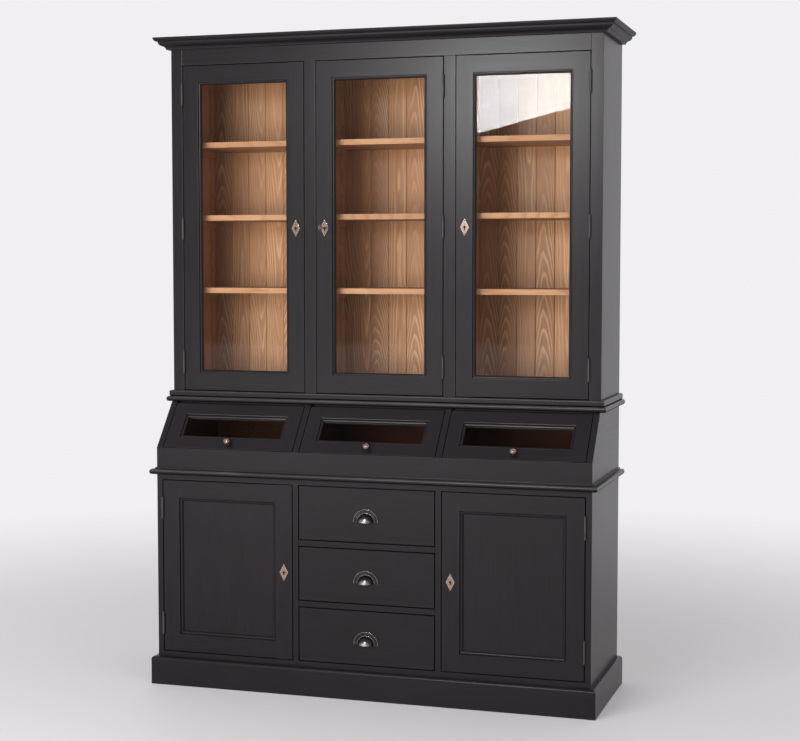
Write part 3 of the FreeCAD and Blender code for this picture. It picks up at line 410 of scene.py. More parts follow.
def waxed_wood(name, pale, middle, ring_colour, pore_colour, lift):
    """Pine: pointed arches of growth rings down the middle of a board, straight lines at its
    sides, fine pores along the grain, and a tone of its own for each board."""
    finish, surface, wire = new_finish(name)
    along, across, through, tone = grain_of(wire)
    shift = tone * WOOD_SHIFT

    def streaks(length, width, detail=2.0):
        """Noise drawn out along the grain, with so many turns to a metre along and across it."""
        place = wire.point(along * length + shift, across * width, through * width)
        return wire.noise(place, 1.0, detail)

    heart = across + (tone - 0.5) * HEART_SWAY
    arch = (heart * heart + through * through + HEART_ROUND).maths("SQRT")
    lean = (tone - 0.5) * RINGS * 0.3 + RINGS * 0.05
    drift = streaks(2.2, 12.0, 3.0)
    phase = (arch * RINGS + along * lean + drift * 4.2 + shift).maths("FRACT")
    ring = wire.node("ShaderNodeValToRGB", {"stops": RING_STOPS}, {"Fac": phase})
    figure, pores, broad = streaks(1.5, 9.0), streaks(14.0, 700.0), streaks(0.9, 24.0)
    body = (broad * 0.7 + tone * 0.3).clamp(0.25, 0.75).blend(pale, middle)
    ringed = (ring * (0.12 + figure.clamp(0.35, 0.65) * 0.6)).blend(body, ring_colour)
    (pores.clamp(0.45, 0.8) * 0.45).blend(ringed, pore_colour).into(surface, "Base Color")
    (0.42 + ring * 0.10 + pores * 0.12).into(surface, "Roughness")
    (ring * 0.5 + pores * 0.5).bump(lift, RELIEF).into(surface, "Normal")
    surface.inputs["Specular IOR Level"].default_value = 0.35
    return finish


honey_wood = waxed_wood("honey_wood", shade(184, 133, 96), shade(170, 118, 83), shade(150, 97, 61),
                        shade(122, 76, 46), 0.12)


def shade_in_joints(arris, centre, normal):
    """Painted shade darkens the eased edges that face a door or a drawer, within the outer corners.
    """
    return -arris if abs(centre.x) < CASE_HALF - EDGE_BAND else arris


def painted_outside(number, centre, normal):
    """The outer faces and the border round the doors and drawers are painted."""
    outside = abs(centre.x) > CASE_HALF - EDGE_BAND or centre.y < BASE_FRONT + DOOR_BAND
    return 0 if outside else 1


def cut_at(axis, place):
    """A plane square to the x or y axis, as a point on it and its normal."""
    normal = Vector((1, 0, 0)) if axis == "x" else Vector((0, 1, 0))
    return normal * place, normal


behind_doors = [cut_at("y", BASE_FRONT + DOOR_BAND)]
# The eased edges round the openings carry painted shade from the gaps.
dressed("base_boards", "base_case", [charcoal_paint, honey_wood],
        pick=painted_outside, cuts=behind_doors, wear_and_light=shade_in_joints)

# COUNTER BOARD
# One wide board with a half-round edge on three sides, screwed down on the base and painted all
# over like the base. The nose of the rounding carries a painted highlight, and its underside
# painted shade.
NOSE_HIGHLIGHT = 1.6
UNDERSIDE = (-0.97, -0.3)
NOSE = (0.1, 0.9)


def lit_nose_shaded_underside(arris, centre, normal):
    """Painted light for a rounded edge, by how far each of its faces looks up: painted shade on the
    underside and a painted highlight on the nose.
    """
    if UNDERSIDE[0] < normal.z < UNDERSIDE[1]:
        return -1.0
    return NOSE_HIGHLIGHT if NOSE[0] < normal.z < NOSE[1] else arris


dressed("counter", "counter_board", [charcoal_paint], ease=0.0,
        wear_and_light=lit_nose_shaded_underside)

# DRAWER RAILS
# Rails between the drawers, glued into the partitions and painted on their front edge, with plain
# runners of the same pine along both sides.
# Their eased front edges carry painted shade from the gaps.
dressed("rails_and_runners", "drawer_rails", [charcoal_paint, honey_wood],
        pick=painted_outside, cuts=behind_doors, wear_and_light=shade_in_joints)

# BIN CASE
# A thin bottom board that shows as a fillet, a low apron and four cheeks with a sloping front edge,
# glued together. They are painted outside and on the slope, and stained dark brown inside.
SLOPE_RUN, SLOPE_RISE = 0.124, 0.148
SLOPE_LONG = math.hypot(SLOPE_RUN, SLOPE_RISE)
SLOPE_Y, SLOPE_Z = SLOPE_RUN / SLOPE_LONG, SLOPE_RISE / SLOPE_LONG
SLOPE_FOOT = (BASE_FRONT, 0.812)
FLAP_BAND = 0.034
stained_wood = waxed_wood("stained_wood", shade(76, 36, 22), shade(62, 28, 17), shade(38, 17, 11),
                          shade(28, 12, 8), 0.10)


def painted_bin(number, centre, normal):
    """The outer faces and the border behind the slope are painted."""
    behind = (centre.y - SLOPE_FOOT[0]) * SLOPE_Z - (centre.z - SLOPE_FOOT[1]) * SLOPE_Y
    outside = abs(centre.x) > CASE_HALF - EDGE_BAND or centre.y < BASE_FRONT + EDGE_BAND
    return 0 if outside or behind < FLAP_BAND else 1


behind_slope = (Vector((0, SLOPE_FOOT[0] + FLAP_BAND / SLOPE_Z, SLOPE_FOOT[1])),
                Vector((0, SLOPE_Z, -SLOPE_Y)))
outer_faces = [cut_at("x", CASE_HALF - EDGE_BAND), cut_at("x", EDGE_BAND - CASE_HALF),
               cut_at("y", BASE_FRONT + EDGE_BAND), behind_slope]
dressed("bin_cheeks", "bin_case", [charcoal_paint, stained_wood],
        pick=painted_bin, cuts=outer_faces)

# BACK PANELS
# Thin pine panels, let in between the sides behind the cupboards and the bins and nailed on. The
# one behind the bins is stained like the rest of them.


def first_or_other(number, centre, normal):
    """The first solid of a piece has the first finish, and the others have the second."""
    return 1 if number else 0


dressed("thin_backs", "back_panels", [honey_wood, stained_wood],
        ease=0.0008, pick=first_or_other)

# WAIST MOULDING
# Two boards with rounded edges lie on each other: the top of the bins, and above it the bottom of
# the upper case, set back a little. Between them is a groove, darkened by painted shade on the
# undersides of the roundings, and their noses carry a painted highlight.
CASE_INSIDE = 0.74
FIELD_BACK = 0.241
LEVEL = 0.9
LID_FIELD, FLOOR_FIELD = -0.04, -0.02


def floor_cuts(front):
    """Planes that part the bare inner field of a board from its painted border."""
    return [cut_at("x", -CASE_INSIDE), cut_at("x", CASE_INSIDE), cut_at("y", front),
            cut_at("y", FIELD_BACK)]


def bare_field(front, up):
    """The field of a board that shows inside the case, on its upper (1) or lower (-1) face."""
    def pick(number, centre, normal):
        inside = abs(centre.x) < CASE_INSIDE and front < centre.y < FIELD_BACK
        return 1 if inside and normal.z * up > LEVEL else 0
    return pick


dressed("bin_lid_board", "bin_top", [charcoal_paint, stained_wood], ease=0.0,
        pick=bare_field(LID_FIELD, -1), cuts=floor_cuts(LID_FIELD), wear_and_light=lit_nose_shaded_underside)
dressed("upper_bottom_board", "upper_bottom", [charcoal_paint, honey_wood],
        ease=0.0, pick=bare_field(FLOOR_FIELD, 1), cuts=floor_cuts(FLOOR_FIELD),
        wear_and_light=lit_nose_shaded_underside)

# UPPER CASE
# Two sides, two partitions and a top board, painted outside and bare inside, behind a face frame
# that is painted all over. The outer stiles of the frame run up past the ends of its rail.
UPPER_TOP = 2.167


def painted_upper(number, centre, normal):
    """The outer faces of the sides and of the top are painted."""
    outside = abs(centre.x) > CASE_HALF - EDGE_BAND or centre.z > UPPER_TOP - EDGE_BAND
    return 0 if outside else 1


dressed("upper_boards", "upper_case", [charcoal_paint, honey_wood],
        pick=painted_upper)
dressed("face_frame", "upper_face_frame", [charcoal_paint], ease=0.0012,
        seams=True)

# CORNICE
# A run of crown moulding in three lengths, mitred at the front corners and glued to the frame: from
# below a cove, an ovolo, a fillet, a dark quirk and a rounded top member. Brush marks stay in it.
moulding_paint = brushed_paint("moulding_paint", 0.4, 0.3)
dressed("crown_moulding", "cornice", [moulding_paint], ease=0.0008)

# BACK BOARDS
# Narrow pine boards with tongues and grooves and a small bevel at each joint, stood side by side
# and nailed to the case, waxed and darkened with age.
BOARDS = 22
BACK_WIDE = 1.46
TONGUE = 0.005
BOARD_PITCH = (BACK_WIDE - TONGUE) / BOARDS
BOARD_SEED = 7
brown_boards = waxed_wood("brown_boards", shade(184, 130, 92), shade(160, 110, 76),
                          shade(232, 184, 142), shade(92, 56, 34), 0.16)


def joined(tree, *links):
    for start, end in links:
        tree.links.new(start, end)


def tree_of(name, inputs):
    """A node tree for pieces that repeat, with named inputs for its sizes. It ends in a node that
    makes its instances real, and in one that gives them the finish."""
    tree = bpy.data.node_groups.new(name, "GeometryNodeTree")
    tree.interface.new_socket("Geometry", in_out="INPUT", socket_type="NodeSocketGeometry")
    tree.interface.new_socket("Geometry", in_out="OUTPUT", socket_type="NodeSocketGeometry")
    for label, kind in {**inputs, "Finish": "Material"}.items():
        tree.interface.new_socket(label, in_out="INPUT", socket_type="NodeSocket" + kind)
    given, result = tree.nodes.new("NodeGroupInput"), tree.nodes.new("NodeGroupOutput")
    real = tree.nodes.new("GeometryNodeRealizeInstances")
    painted = tree.nodes.new("GeometryNodeSetMaterial")
    joined(tree, (real.outputs[0], painted.inputs["Geometry"]),
           (given.outputs["Finish"], painted.inputs["Material"]),
           (painted.outputs[0], result.inputs[0]))
    return tree, given, real


def made_by(tree, piece, values):
    """Run a tree on a piece, once its inputs are set, and keep the result as a plain mesh."""
    maker = piece.modifiers.new(tree.name, "NODES")
    maker.node_group = tree
    names = {item.name: item.identifier for item in tree.interface.items_tree
             if item.in_out == "INPUT"}
    for name, value in values.items():
        maker[names[name]] = value
    made = as_mesh(piece)
    piece.modifiers.remove(maker)
    piece.data = made


board_row, given, real = tree_of("board_row", {"Boards": "Int", "Pitch": "Float", "Seed": "Int"})
line = board_row.nodes.new("GeometryNodeMeshLine")
step = board_row.nodes.new("ShaderNodeCombineXYZ")
stand = board_row.nodes.new("GeometryNodeInstanceOnPoints")
chance = board_row.nodes.new("FunctionNodeRandomValue")
store = board_row.nodes.new("GeometryNodeStoreNamedAttribute")
store.domain = "INSTANCE"
store.inputs["Name"].default_value = "tone"
joined(board_row,
       (given.outputs["Boards"], line.inputs["Count"]), (given.outputs["Pitch"], step.inputs["X"]),
       (step.outputs[0], line.inputs["Offset"]), (line.outputs[0], stand.inputs["Points"]),
       (given.outputs["Geometry"], stand.inputs["Instance"]),
       (given.outputs["Seed"], chance.inputs["Seed"]), (stand.outputs[0], store.inputs["Geometry"]),
       (chance.outputs[1], store.inputs["Value"]), (store.outputs[0], real.inputs[0]))

back_wall = dressed("back_wall_boards", "back_boards", [brown_boards],
                    ease=0.0004, only=[0])
back_wall.data.attributes.remove(back_wall.data.attributes["tone"])
made_by(board_row, back_wall, {"Boards": BOARDS, "Pitch": BOARD_PITCH, "Seed": BOARD_SEED,
                               "Finish": brown_boards})

# SHELVES AND RACKS
# Loose shelves of honey-coloured pine lie on battens, and the battens lie in the notches of upright
# racks that are screwed to the walls. The two cupboard shelves lie on plain cleats.
dressed("shelf_boards", "shelves", [honey_wood], ease=0.0015)
dressed("racks_and_battens", "shelf_supports", [honey_wood], ease=0.0008)

# GLAZED AND PANELLED DOORS
# Stiles and rails tenoned together, with a moulded bead round the inner edge. The upper doors hold
# clear glass and the lower ones a flat panel, each kept in by a plain bead at the back.
UPPER_DOORS = ("upper_left_door", "upper_middle_door", "upper_right_door")
LOWER_DOORS = ("lower_left_door", "lower_right_door")
DOORS = UPPER_DOORS + LOWER_DOORS
JOINT_REACH = 0.003
OUTWARD, UPWARD = 0.05, 0.3
SILL_HIGHLIGHT = 1.5


def shaded_round(node):
    """Painted light for a piece set flush in a frame: its outer eased edges get painted shade from
    the joint.
    """
    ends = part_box(node)

    def wear_and_light(arris, centre, normal):
        outer = any(abs(centre[axis] - end[axis]) < JOINT_REACH for axis in (0, 2) for end in ends)
        return -arris if outer else arris
    return wear_and_light


def shaded_quirks(node):
    """Painted light for a panelled door: painted shade in the joint and the quirks, and a painted
    highlight on the arrises that look up below its panel.
    """
    low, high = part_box(node)
    middle = (Vector(low) + Vector(high)) / 2

    def wear_and_light(arris, centre, normal):
        away = centre - middle
        if away.x * normal.x + away.z * normal.z > OUTWARD:
            return -1.0
        return arris * SILL_HIGHLIGHT if normal.z > UPWARD else -arris
    return wear_and_light


def window_glass(name, gleam):
    """Clear glass, lightly smeared. The gleam is the share that each face mirrors straight on."""
    glass, surface, wire = new_finish(name)
    glass.node_tree.nodes.remove(surface)
    smear = wire.noise(wire.place(), 5.0, 4.0, 0.6)
    clear = wire.node("ShaderNodeBsdfTransparent", {}, {"Color": shade(250, 252, 251)})
    sheen = wire.node("ShaderNodeBsdfAnisotropic", {}, {
        "Color": shade(255, 255, 255), "Roughness": smear.clamp(0.4, 0.9) * 0.05})
    slant = wire.node("ShaderNodeLayerWeight", {}, {"Blend": 0.5}, "Facing")
    mirrored = (gleam + slant.maths("POWER", 5.0) * (1 - gleam)) * (0.85 + smear * 0.3)
    pane = wire.node("ShaderNodeMixShader", {}, {0: mirrored, 1: clear, 2: sheen})
    pane.into(glass.node_tree.nodes["Material Output"], "Surface")
    return glass


door_glass = window_glass("door_glass", 0.004)
# The upper doors get painted shade along their outer edges; the lower doors get painted shade in
# their joints and quirks and a painted highlight below the panel.
for door in DOORS:
    wear_and_light = (shaded_round if door in UPPER_DOORS else shaded_quirks)(door + "_frame")
    dressed(door + "_joinery", door + "_frame", [charcoal_paint], wear_and_light=wear_and_light)
for door in UPPER_DOORS:
    frame["nodes"][door + "_glass"].material_slots[0].material = door_glass
for door in LOWER_DOORS:
    dressed(door + "_flat_panel", door + "_panel", [charcoal_paint], ease=0.0005)

# HINGES AND PINS
# Butt hinges of folded steel with ball-tipped pins, let into the edges and partly painted over, and
# the plain steel pins that the flaps turn on.
CAST_RELIEF = 0.0003


def worked_steel(name, bright, dark):
    """Steel with scale marks, under a film of paint or grime that comes and goes."""
    finish, surface, wire = new_finish(name)
    place = wire.place()
    scale_marks = wire.noise(place, 260.0, 4.0, 0.65)
    film = wire.noise(place, 40.0, 3.0).clamp(0.35, 0.65)
    film.blend(bright, dark).into(surface, "Base Color")
    (0.8 - film * 0.6).into(surface, "Metallic")
    (0.34 + scale_marks * 0.22).into(surface, "Roughness")
    scale_marks.bump(0.12, CAST_RELIEF).into(surface, "Normal")
    return finish


dark_steel = worked_steel("dark_steel", shade(72, 69, 69), shade(38, 36, 38))
dressed("frame_hinge_leaves", "frame_hinges", [dark_steel], ease=0.0)
dressed("hinge_and_flap_pins", "pivot_pins", [dark_steel], ease=0.0)
for door in DOORS:
    dressed(door + "_hinge_leaves", door + "_hinges", [dark_steel], ease=0.0)

# SCREWS
# Slotted steel screws hold the hinge leaves and the lock cases. A head is turned round and shallow,
# and each slot stopped where the screw was tight.
HINGE_SCREW, LOCK_SCREW = (0.003, 0.0002), (0.003, 0.001)
HINGE_SCREW_RISE = 0.022
HINGE_SCREW_INSET = 0.007
LEAF_FACE = 0.0003
LOCK_SCREW_INSET = 0.006
LEFT_HUNG = ("upper_left_door", "lower_left_door")
SLOT_HALF, SLOT_FLOOR, HEAD_FOOT = 0.16, 0.3, -0.2


def slotted_head():
    """A screw head with a radius and height of one, to be scaled: a disc of small squares."""
    columns = (-1.0, -0.7, -0.4, -0.17, -0.15, 0.15, 0.17, 0.4, 0.7, 1.0)
    rows = (-1.0, -0.6, -0.2, 0.2, 0.6, 1.0)
    head = bmesh.new()
    grid = []
    for u in columns:
        for v in rows:
            x, y = u * math.sqrt(1 - v * v / 2), v * math.sqrt(1 - u * u / 2)
            crown = 1.0 - 0.5 * (x * x + y * y)
            grid.append(head.verts.new((x, y, crown if abs(u) > SLOT_HALF else SLOT_FLOOR)))
    for column in range(len(columns) - 1):
        for row in range(len(rows) - 1):
            first = column * len(rows) + row
            head.faces.new([grid[first], grid[first + len(rows)], grid[first + len(rows) + 1],
                            grid[first + 1]])
    border = [edge for edge in head.edges if edge.is_boundary]
    for vertex in bmesh.ops.extrude_edge_only(head, edges=border)["geom"]:
        if isinstance(vertex, bmesh.types.BMVert):
            vertex.co.z = HEAD_FOOT
    mesh = bpy.data.meshes.new("screw_head")
    head.to_mesh(mesh)
    head.free()
    return bpy.data.objects.new("screw_head", mesh)


screw_set, given, real = tree_of("screw_set", {"Head": "Object", "Radius": "Float",
                                               "Height": "Float", "Seed": "Int"})
shape = screw_set.nodes.new("GeometryNodeObjectInfo")
size = screw_set.nodes.new("ShaderNodeCombineXYZ")
facing = screw_set.nodes.new("GeometryNodeInputNamedAttribute")
facing.data_type = "FLOAT_VECTOR"
facing.inputs["Name"].default_value = "facing"
aim = screw_set.nodes.new("FunctionNodeAlignRotationToVector")
aim.axis = "Z"
chance = screw_set.nodes.new("FunctionNodeRandomValue")
chance.inputs[3].default_value = math.pi
slot_turn = screw_set.nodes.new("FunctionNodeAxisAngleToRotation")
turned = screw_set.nodes.new("FunctionNodeRotateRotation")
turned.rotation_space = "LOCAL"
stand = screw_set.nodes.new("GeometryNodeInstanceOnPoints")
joined(screw_set,
       (given.outputs["Head"], shape.inputs["Object"]), (given.outputs["Radius"], size.inputs["X"]),
       (given.outputs["Radius"], size.inputs["Y"]), (given.outputs["Height"], size.inputs["Z"]),
       (given.outputs["Seed"], chance.inputs["Seed"]),
       (chance.outputs[1], slot_turn.inputs["Angle"]),
       (facing.outputs[0], aim.inputs["Vector"]), (aim.outputs[0], turned.inputs[0]),
       (slot_turn.outputs[0], turned.inputs[1]),
       (given.outputs["Geometry"], stand.inputs["Points"]),
       (shape.outputs["Geometry"], stand.inputs["Instance"]),
       (size.outputs[0], stand.inputs["Scale"]), (turned.outputs[0], stand.inputs["Rotation"]),
       (stand.outputs[0], real.inputs[0]))
screw_head = slotted_head()


def screws(name, node, spots, size, finish):
    """Screw heads on the body of a CAD piece, with a radius and a height for their size. A spot is
    a place on a face and the way that the face looks."""
    mesh = bpy.data.meshes.new(name)
    mesh.from_pydata([place for place, way in spots], [], [])
    ways = mesh.attributes.new("facing", "FLOAT_VECTOR", "POINT")
    ways.data.foreach_set("vector", [number for place, way in spots for number in way])
    piece = placed(name, mesh)
    made_by(screw_set, piece, {"Head": screw_head, "Radius": size[0], "Height": size[1],
                               "Seed": len(name), "Finish": finish})
    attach(piece, body_of(node))


def box_of(rings):
    points = [point for ring in rings for point in ring]
    return [Vector(pick(point[axis] for point in points) for axis in range(3))
            for pick in (min, max)]


frame_spots = []
for door in DOORS:
    door_spots = []
    side = 1 if door in LEFT_HUNG else -1
    for half in solids_of(door + "_hinges"):
        low, high = box_of(half)
        middle = (low + high) / 2
        for rise in (-HINGE_SCREW_RISE, 0, HINGE_SCREW_RISE):
            y, z = high.y - HINGE_SCREW_INSET, middle.z + rise
            door_spots.append((Vector((middle.x + side * LEAF_FACE, y, z)), Vector((-side, 0, 0))))
            frame_spots.append((Vector((middle.x - side * LEAF_FACE, y, z)), Vector((side, 0, 0))))
    screws(door + "_hinge_screws", door + "_hinges", door_spots, HINGE_SCREW, dark_steel)
    low, high = box_of(solids_of(door + "_lock")[0])
    lock_spots = [(Vector((x, high.y, z)), Vector((0, 1, 0)))
                  for x in (low.x + LOCK_SCREW_INSET, high.x - LOCK_SCREW_INSET)
                  for z in (low.z + LOCK_SCREW_INSET, high.z - LOCK_SCREW_INSET)]
    screws(door + "_lock_screws", door + "_lock", lock_spots, LOCK_SCREW, dark_steel)
screws("frame_hinge_screws", "frame_hinges", frame_spots, HINGE_SCREW, dark_steel)

# LOCKS, ESCUTCHEONS AND KEY
# Steel box locks screwed behind the stiles, each with a sliding bolt, and in front a diamond plate
# of aged brass pinned over the keyhole. The key stands in the lock of the middle door.
PLATE_PIN = (0.0014, 0.0008)
PIN_REACH = 0.74
PLATE_TALL, PLATE_WIDE = 0.029, 0.015
antique_brass, surface, wire = new_finish("antique_brass")
tarnish = wire.noise(wire.place(), 140.0, 4.0, 0.6)
along, across = grain_of(wire)[:2]
tall = along.maths("ABSOLUTE") * (1 / PLATE_TALL)
wide = across.maths("ABSOLUTE") * (1 / PLATE_WIDE)
# Painted reflection: the plate is pinker at the top and yellower at the bottom.
up = along.clamp(-PLATE_TALL / 2, PLATE_TALL / 2)
brass_painted_reflection = up.blend(shade(140, 116, 99), shade(140, 121, 113))
worn = tarnish.clamp(0.35, 0.8).blend(brass_painted_reflection, shade(108, 90, 79))
# It is paler towards the rim, and painted shade darkens it round the keyhole.
rimmed = (tall + wide).clamp(0.66, 0.82).blend(worn, shade(140, 125, 115))
(tall + wide * 0.6).clamp(0.08, 0.3).blend(shade(62, 44, 36), rimmed).into(surface, "Base Color")
(0.12 + tarnish * 0.15).into(surface, "Roughness")
tarnish.bump(0.15, CAST_RELIEF).into(surface, "Normal")
surface.inputs["Metallic"].default_value = 0.85

for door in DOORS:
    dressed(door + "_lock_and_plate", door + "_lock", [dark_steel, antique_brass],
            ease=0.0006, pick=first_or_other)
    dressed(door + "_lock_bolt", door + "_bolt", [dark_steel], ease=0.0004)
    low, high = box_of(solids_of(door + "_lock")[1])
    middle, reach = (low + high) / 2, (high.z - low.z) / 2 * PIN_REACH
    pin_spots = [(Vector((middle.x, low.y, middle.z + rise)), Vector((0, -1, 0)))
                 for rise in (-reach, reach)]
    screws(door + "_plate_pins", door + "_lock", pin_spots, PLATE_PIN, antique_brass)
# The key's steel is paler than the hinges', partly as a painted highlight on its bow.
key_steel = worked_steel("key_steel", shade(128, 124, 120), shade(76, 73, 71))
dressed("door_key", "key", [key_steel], ease=0.0)

# DRAWERS
# A flush painted front on a box of thin pine, running on the rails, with a cast cup pull whose
# flange has a thin raised rim, a bead round the cup and a screw at each end.
PULL_PLATE = 0.0024
PULL_DEEP, PULL_TALL = (high - low for low, high in list(zip(*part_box("top_drawer_pull")))[1:])
PULL_RIM = 0.0010
PULL_BAND = 0.0134
PULL_SCREW = (0.0026, 0.0012)
PULL_SCREW_OUT = 0.86
PULL_SCREW_UP = 0.11
HIGHLIGHT_NEAR, HIGHLIGHT_FAR = 0.002, 0.018
WORN_AND_HIGHLIT_PEWTER = shade(146, 142, 140)


def cast_metal(name, bright, dark, lip):
    """Dark cast metal, dull in the hollows. A painted highlight, partly wear from hands, lies
    bright round the middle of a cup's lip, which lies lowest and stands out from the flange."""
    finish, surface, wire = new_finish(name)
    place = wire.place()
    cast = wire.noise(place, 320.0, 3.0, 0.6)
    dull = wire.noise(place, 45.0, 3.0).clamp(0.3, 0.7)
    along, across, through = grain_of(wire)[:3]
    rise, out = across + PULL_TALL / 2, PULL_DEEP / 2 - through
    far = (along * along * 0.5 + rise * rise).maths("SQRT")
    rub_and_highlight = out.clamp(PULL_PLATE, PULL_PLATE * 3) * (1 - far.clamp(HIGHLIGHT_NEAR, HIGHLIGHT_FAR))
    rub_and_highlight.blend(dull.blend(bright, dark), lip).into(surface, "Base Color")
    (0.20 + dull * 0.10 + cast * 0.06).into(surface, "Roughness")
    cast.bump(0.08, CAST_RELIEF).into(surface, "Normal")
    surface.inputs["Metallic"].default_value = 1.0
    return finish


pewter = cast_metal("pewter", shade(54, 52, 52), shade(40, 38, 38), shade(158, 155, 153))
# A paler copy of the pewter for the rims and beads, partly worn and partly a painted highlight.
rubbed_pewter = cast_metal("rubbed_pewter", WORN_AND_HIGHLIT_PEWTER, shade(108, 105, 104), WORN_AND_HIGHLIT_PEWTER)
pull_rim, given, real = tree_of("pull_rim", {"Radius": "Float", "Wire": "Float", "Place": "Vector"})
arc = pull_rim.nodes.new("GeometryNodeCurveArc")
arc.inputs["Resolution"].default_value = 64
arc.inputs["Sweep Angle"].default_value = math.pi
section = pull_rim.nodes.new("GeometryNodeCurvePrimitiveCircle")
section.inputs["Resolution"].default_value = 10
tube = pull_rim.nodes.new("GeometryNodeCurveToMesh")
tube.inputs["Fill Caps"].default_value = True
stood = pull_rim.nodes.new("GeometryNodeTransform")
stood.inputs["Rotation"].default_value = (math.pi / 2, 0, 0)
joined(pull_rim,
       (given.outputs["Radius"], arc.inputs["Radius"]),
       (given.outputs["Wire"], section.inputs["Radius"]),
       (arc.outputs[0], tube.inputs["Curve"]), (section.outputs[0], tube.inputs["Profile Curve"]),
       (tube.outputs[0], stood.inputs["Geometry"]),
       (given.outputs["Place"], stood.inputs["Translation"]), (stood.outputs[0], real.inputs[0]))

for drawer in ("bottom_drawer", "middle_drawer", "top_drawer"):
    # Each drawer front gets painted shade along its outer eased edges.
    dressed(drawer + "_face", drawer + "_front", [charcoal_paint], ease=0.0012,
            wear_and_light=shaded_round(drawer + "_front"))
    dressed(drawer + "_sides", drawer + "_box", [honey_wood], ease=0.0008)
    dressed(drawer + "_cup_pull", drawer + "_pull", [pewter], ease=0.0004)
    low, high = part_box(drawer + "_pull")
    radius, plate_y = (high[0] - low[0]) / 2, BASE_FRONT - PULL_PLATE
    for name, inset in (("_pull_rim", PULL_RIM), ("_pull_bead", PULL_BAND)):
        rim = placed(drawer + name, bpy.data.meshes.new(drawer + name))
        made_by(pull_rim, rim, {"Radius": radius - inset, "Wire": PULL_RIM, "Finish": rubbed_pewter,
                                "Place": (low[0] + radius, plate_y, low[2])})
        rim.data.shade_smooth()
        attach(rim, body_of(drawer + "_pull"))
    pull_spots = [(Vector((low[0] + radius + out, plate_y, low[2] + radius * PULL_SCREW_UP)),
                   Vector((0, -1, 0)))
                  for out in (-radius * PULL_SCREW_OUT, radius * PULL_SCREW_OUT)]
    screws(drawer + "_pull_screws", drawer + "_pull", pull_spots, PULL_SCREW, pewter)
bpy.data.objects.remove(screw_head)

# FLAPS
# Glazed frames on the slope of the bins, made like the doors, each lifted by a turned bronze knob
# with a small rose, a waisted neck and a ball-like head.
KNOB_RISE = 0.0249
KNOB_FOOT = ((0.008, 0.0), (0.008, 0.0012), (0.0074, 0.002), (0.0056, 0.0026), (0.0046, 0.0045),
             (0.0043, 0.0065), (0.0050, 0.0082))
KNOB_NECK, KNOB_TOP, KNOB_RADIUS = 0.0072, 0.026, 0.0125
KNOB_STEPS = 48
DOWNWARD, BEAD_LEAN = -0.2, (-0.75, -0.4)
EDGE_HIGHLIGHT, BEAD_HIGHLIGHT = 5.0, 2.0
bronze, surface, wire = new_finish("bronze")
patina = wire.noise(wire.place(), 180.0, 4.0, 0.6)
rise = wire.attribute("rise")
head_bronze = patina.clamp(0.35, 0.7).blend(shade(156, 135, 123), shade(106, 88, 78))
# Painted shade darkens the rose and the neck under the head.
rise.clamp(KNOB_NECK, KNOB_NECK * 2).blend(shade(44, 36, 33), head_bronze).into(surface, "Base Color")
(0.12 + patina * 0.16).into(surface, "Roughness")
patina.bump(0.08, CAST_RELIEF).into(surface, "Normal")
surface.inputs["Metallic"].default_value = 1.0
flap_glass = window_glass("flap_glass", 0.0012)


def lit_bead(node):
    """Painted light for a flap: painted shade at its joints, and painted highlights on the bead and
    its eased edges where they look down above the glass.
    """
    painted_shade = shaded_round(node)
    low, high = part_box(node)

    def wear_and_light(arris, centre, normal):
        lean = normal.y * SLOPE_Y + normal.z * SLOPE_Z
        if centre.z > (low[2] + high[2]) / 2 and lean < DOWNWARD:
            bead = BEAD_HIGHLIGHT if BEAD_LEAN[0] < lean < BEAD_LEAN[1] else arris
            return EDGE_HIGHLIGHT if arris else bead
        return painted_shade(arris, centre, normal)
    return wear_and_light


def turned_knob(name, x):
    """A knob turned on a lathe: its profile, from the rose to the top of the head, spun round."""
    profile = list(KNOB_FOOT)
    middle, half = (KNOB_NECK + KNOB_TOP) / 2, (KNOB_TOP - KNOB_NECK) / 2
    for degrees in range(-66, 91, 13):
        angle = math.radians(degrees)
        profile.append((max(KNOB_RADIUS * math.cos(angle), 0.0), middle + half * math.sin(angle)))
    knob = bmesh.new()
    points = [knob.verts.new((radius, 0, rise)) for radius, rise in profile]
    line = [knob.edges.new(pair) for pair in zip(points, points[1:])]
    bmesh.ops.spin(knob, geom=points + line, cent=(0, 0, 0), axis=(0, 0, 1), angle=math.tau,
                   steps=KNOB_STEPS, use_merge=True)
    bmesh.ops.remove_doubles(knob, verts=knob.verts[:], dist=1e-6)
    bmesh.ops.recalc_face_normals(knob, faces=knob.faces[:])
    outwards = Vector((0, -SLOPE_Z, SLOPE_Y)).to_track_quat("Z", "X").to_matrix().to_4x4()
    foot = Vector((x, SLOPE_FOOT[0] + KNOB_RISE * SLOPE_Y, SLOPE_FOOT[1] + KNOB_RISE * SLOPE_Z))
    rises = [vertex.co.z for vertex in knob.verts]
    knob.transform(Matrix.Translation(foot) @ outwards)
    mesh = bpy.data.meshes.new(name)
    knob.to_mesh(mesh)
    knob.free()
    mesh.attributes.new("rise", "FLOAT", "POINT").data.foreach_set("value", rises)
    mesh.materials.append(bronze)
    mesh.shade_smooth()
    return placed(name, mesh)


# Each flap frame gets painted highlights on the bead above its glass and painted shade at its
# joints.
for flap in ("left_flap", "middle_flap", "right_flap"):
    dressed(flap + "_joinery", flap + "_frame", [charcoal_paint], ease=0.0012,
            wear_and_light=lit_bead(flap + "_frame"))
    frame["nodes"][flap + "_glass"].material_slots[0].material = flap_glass
    low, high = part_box(flap + "_knob")
    knob = turned_knob(flap + "_turned_knob", (low[0] + high[0]) / 2)
    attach(knob, body_of(flap + "_knob"))
    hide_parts(flap + "_knob")

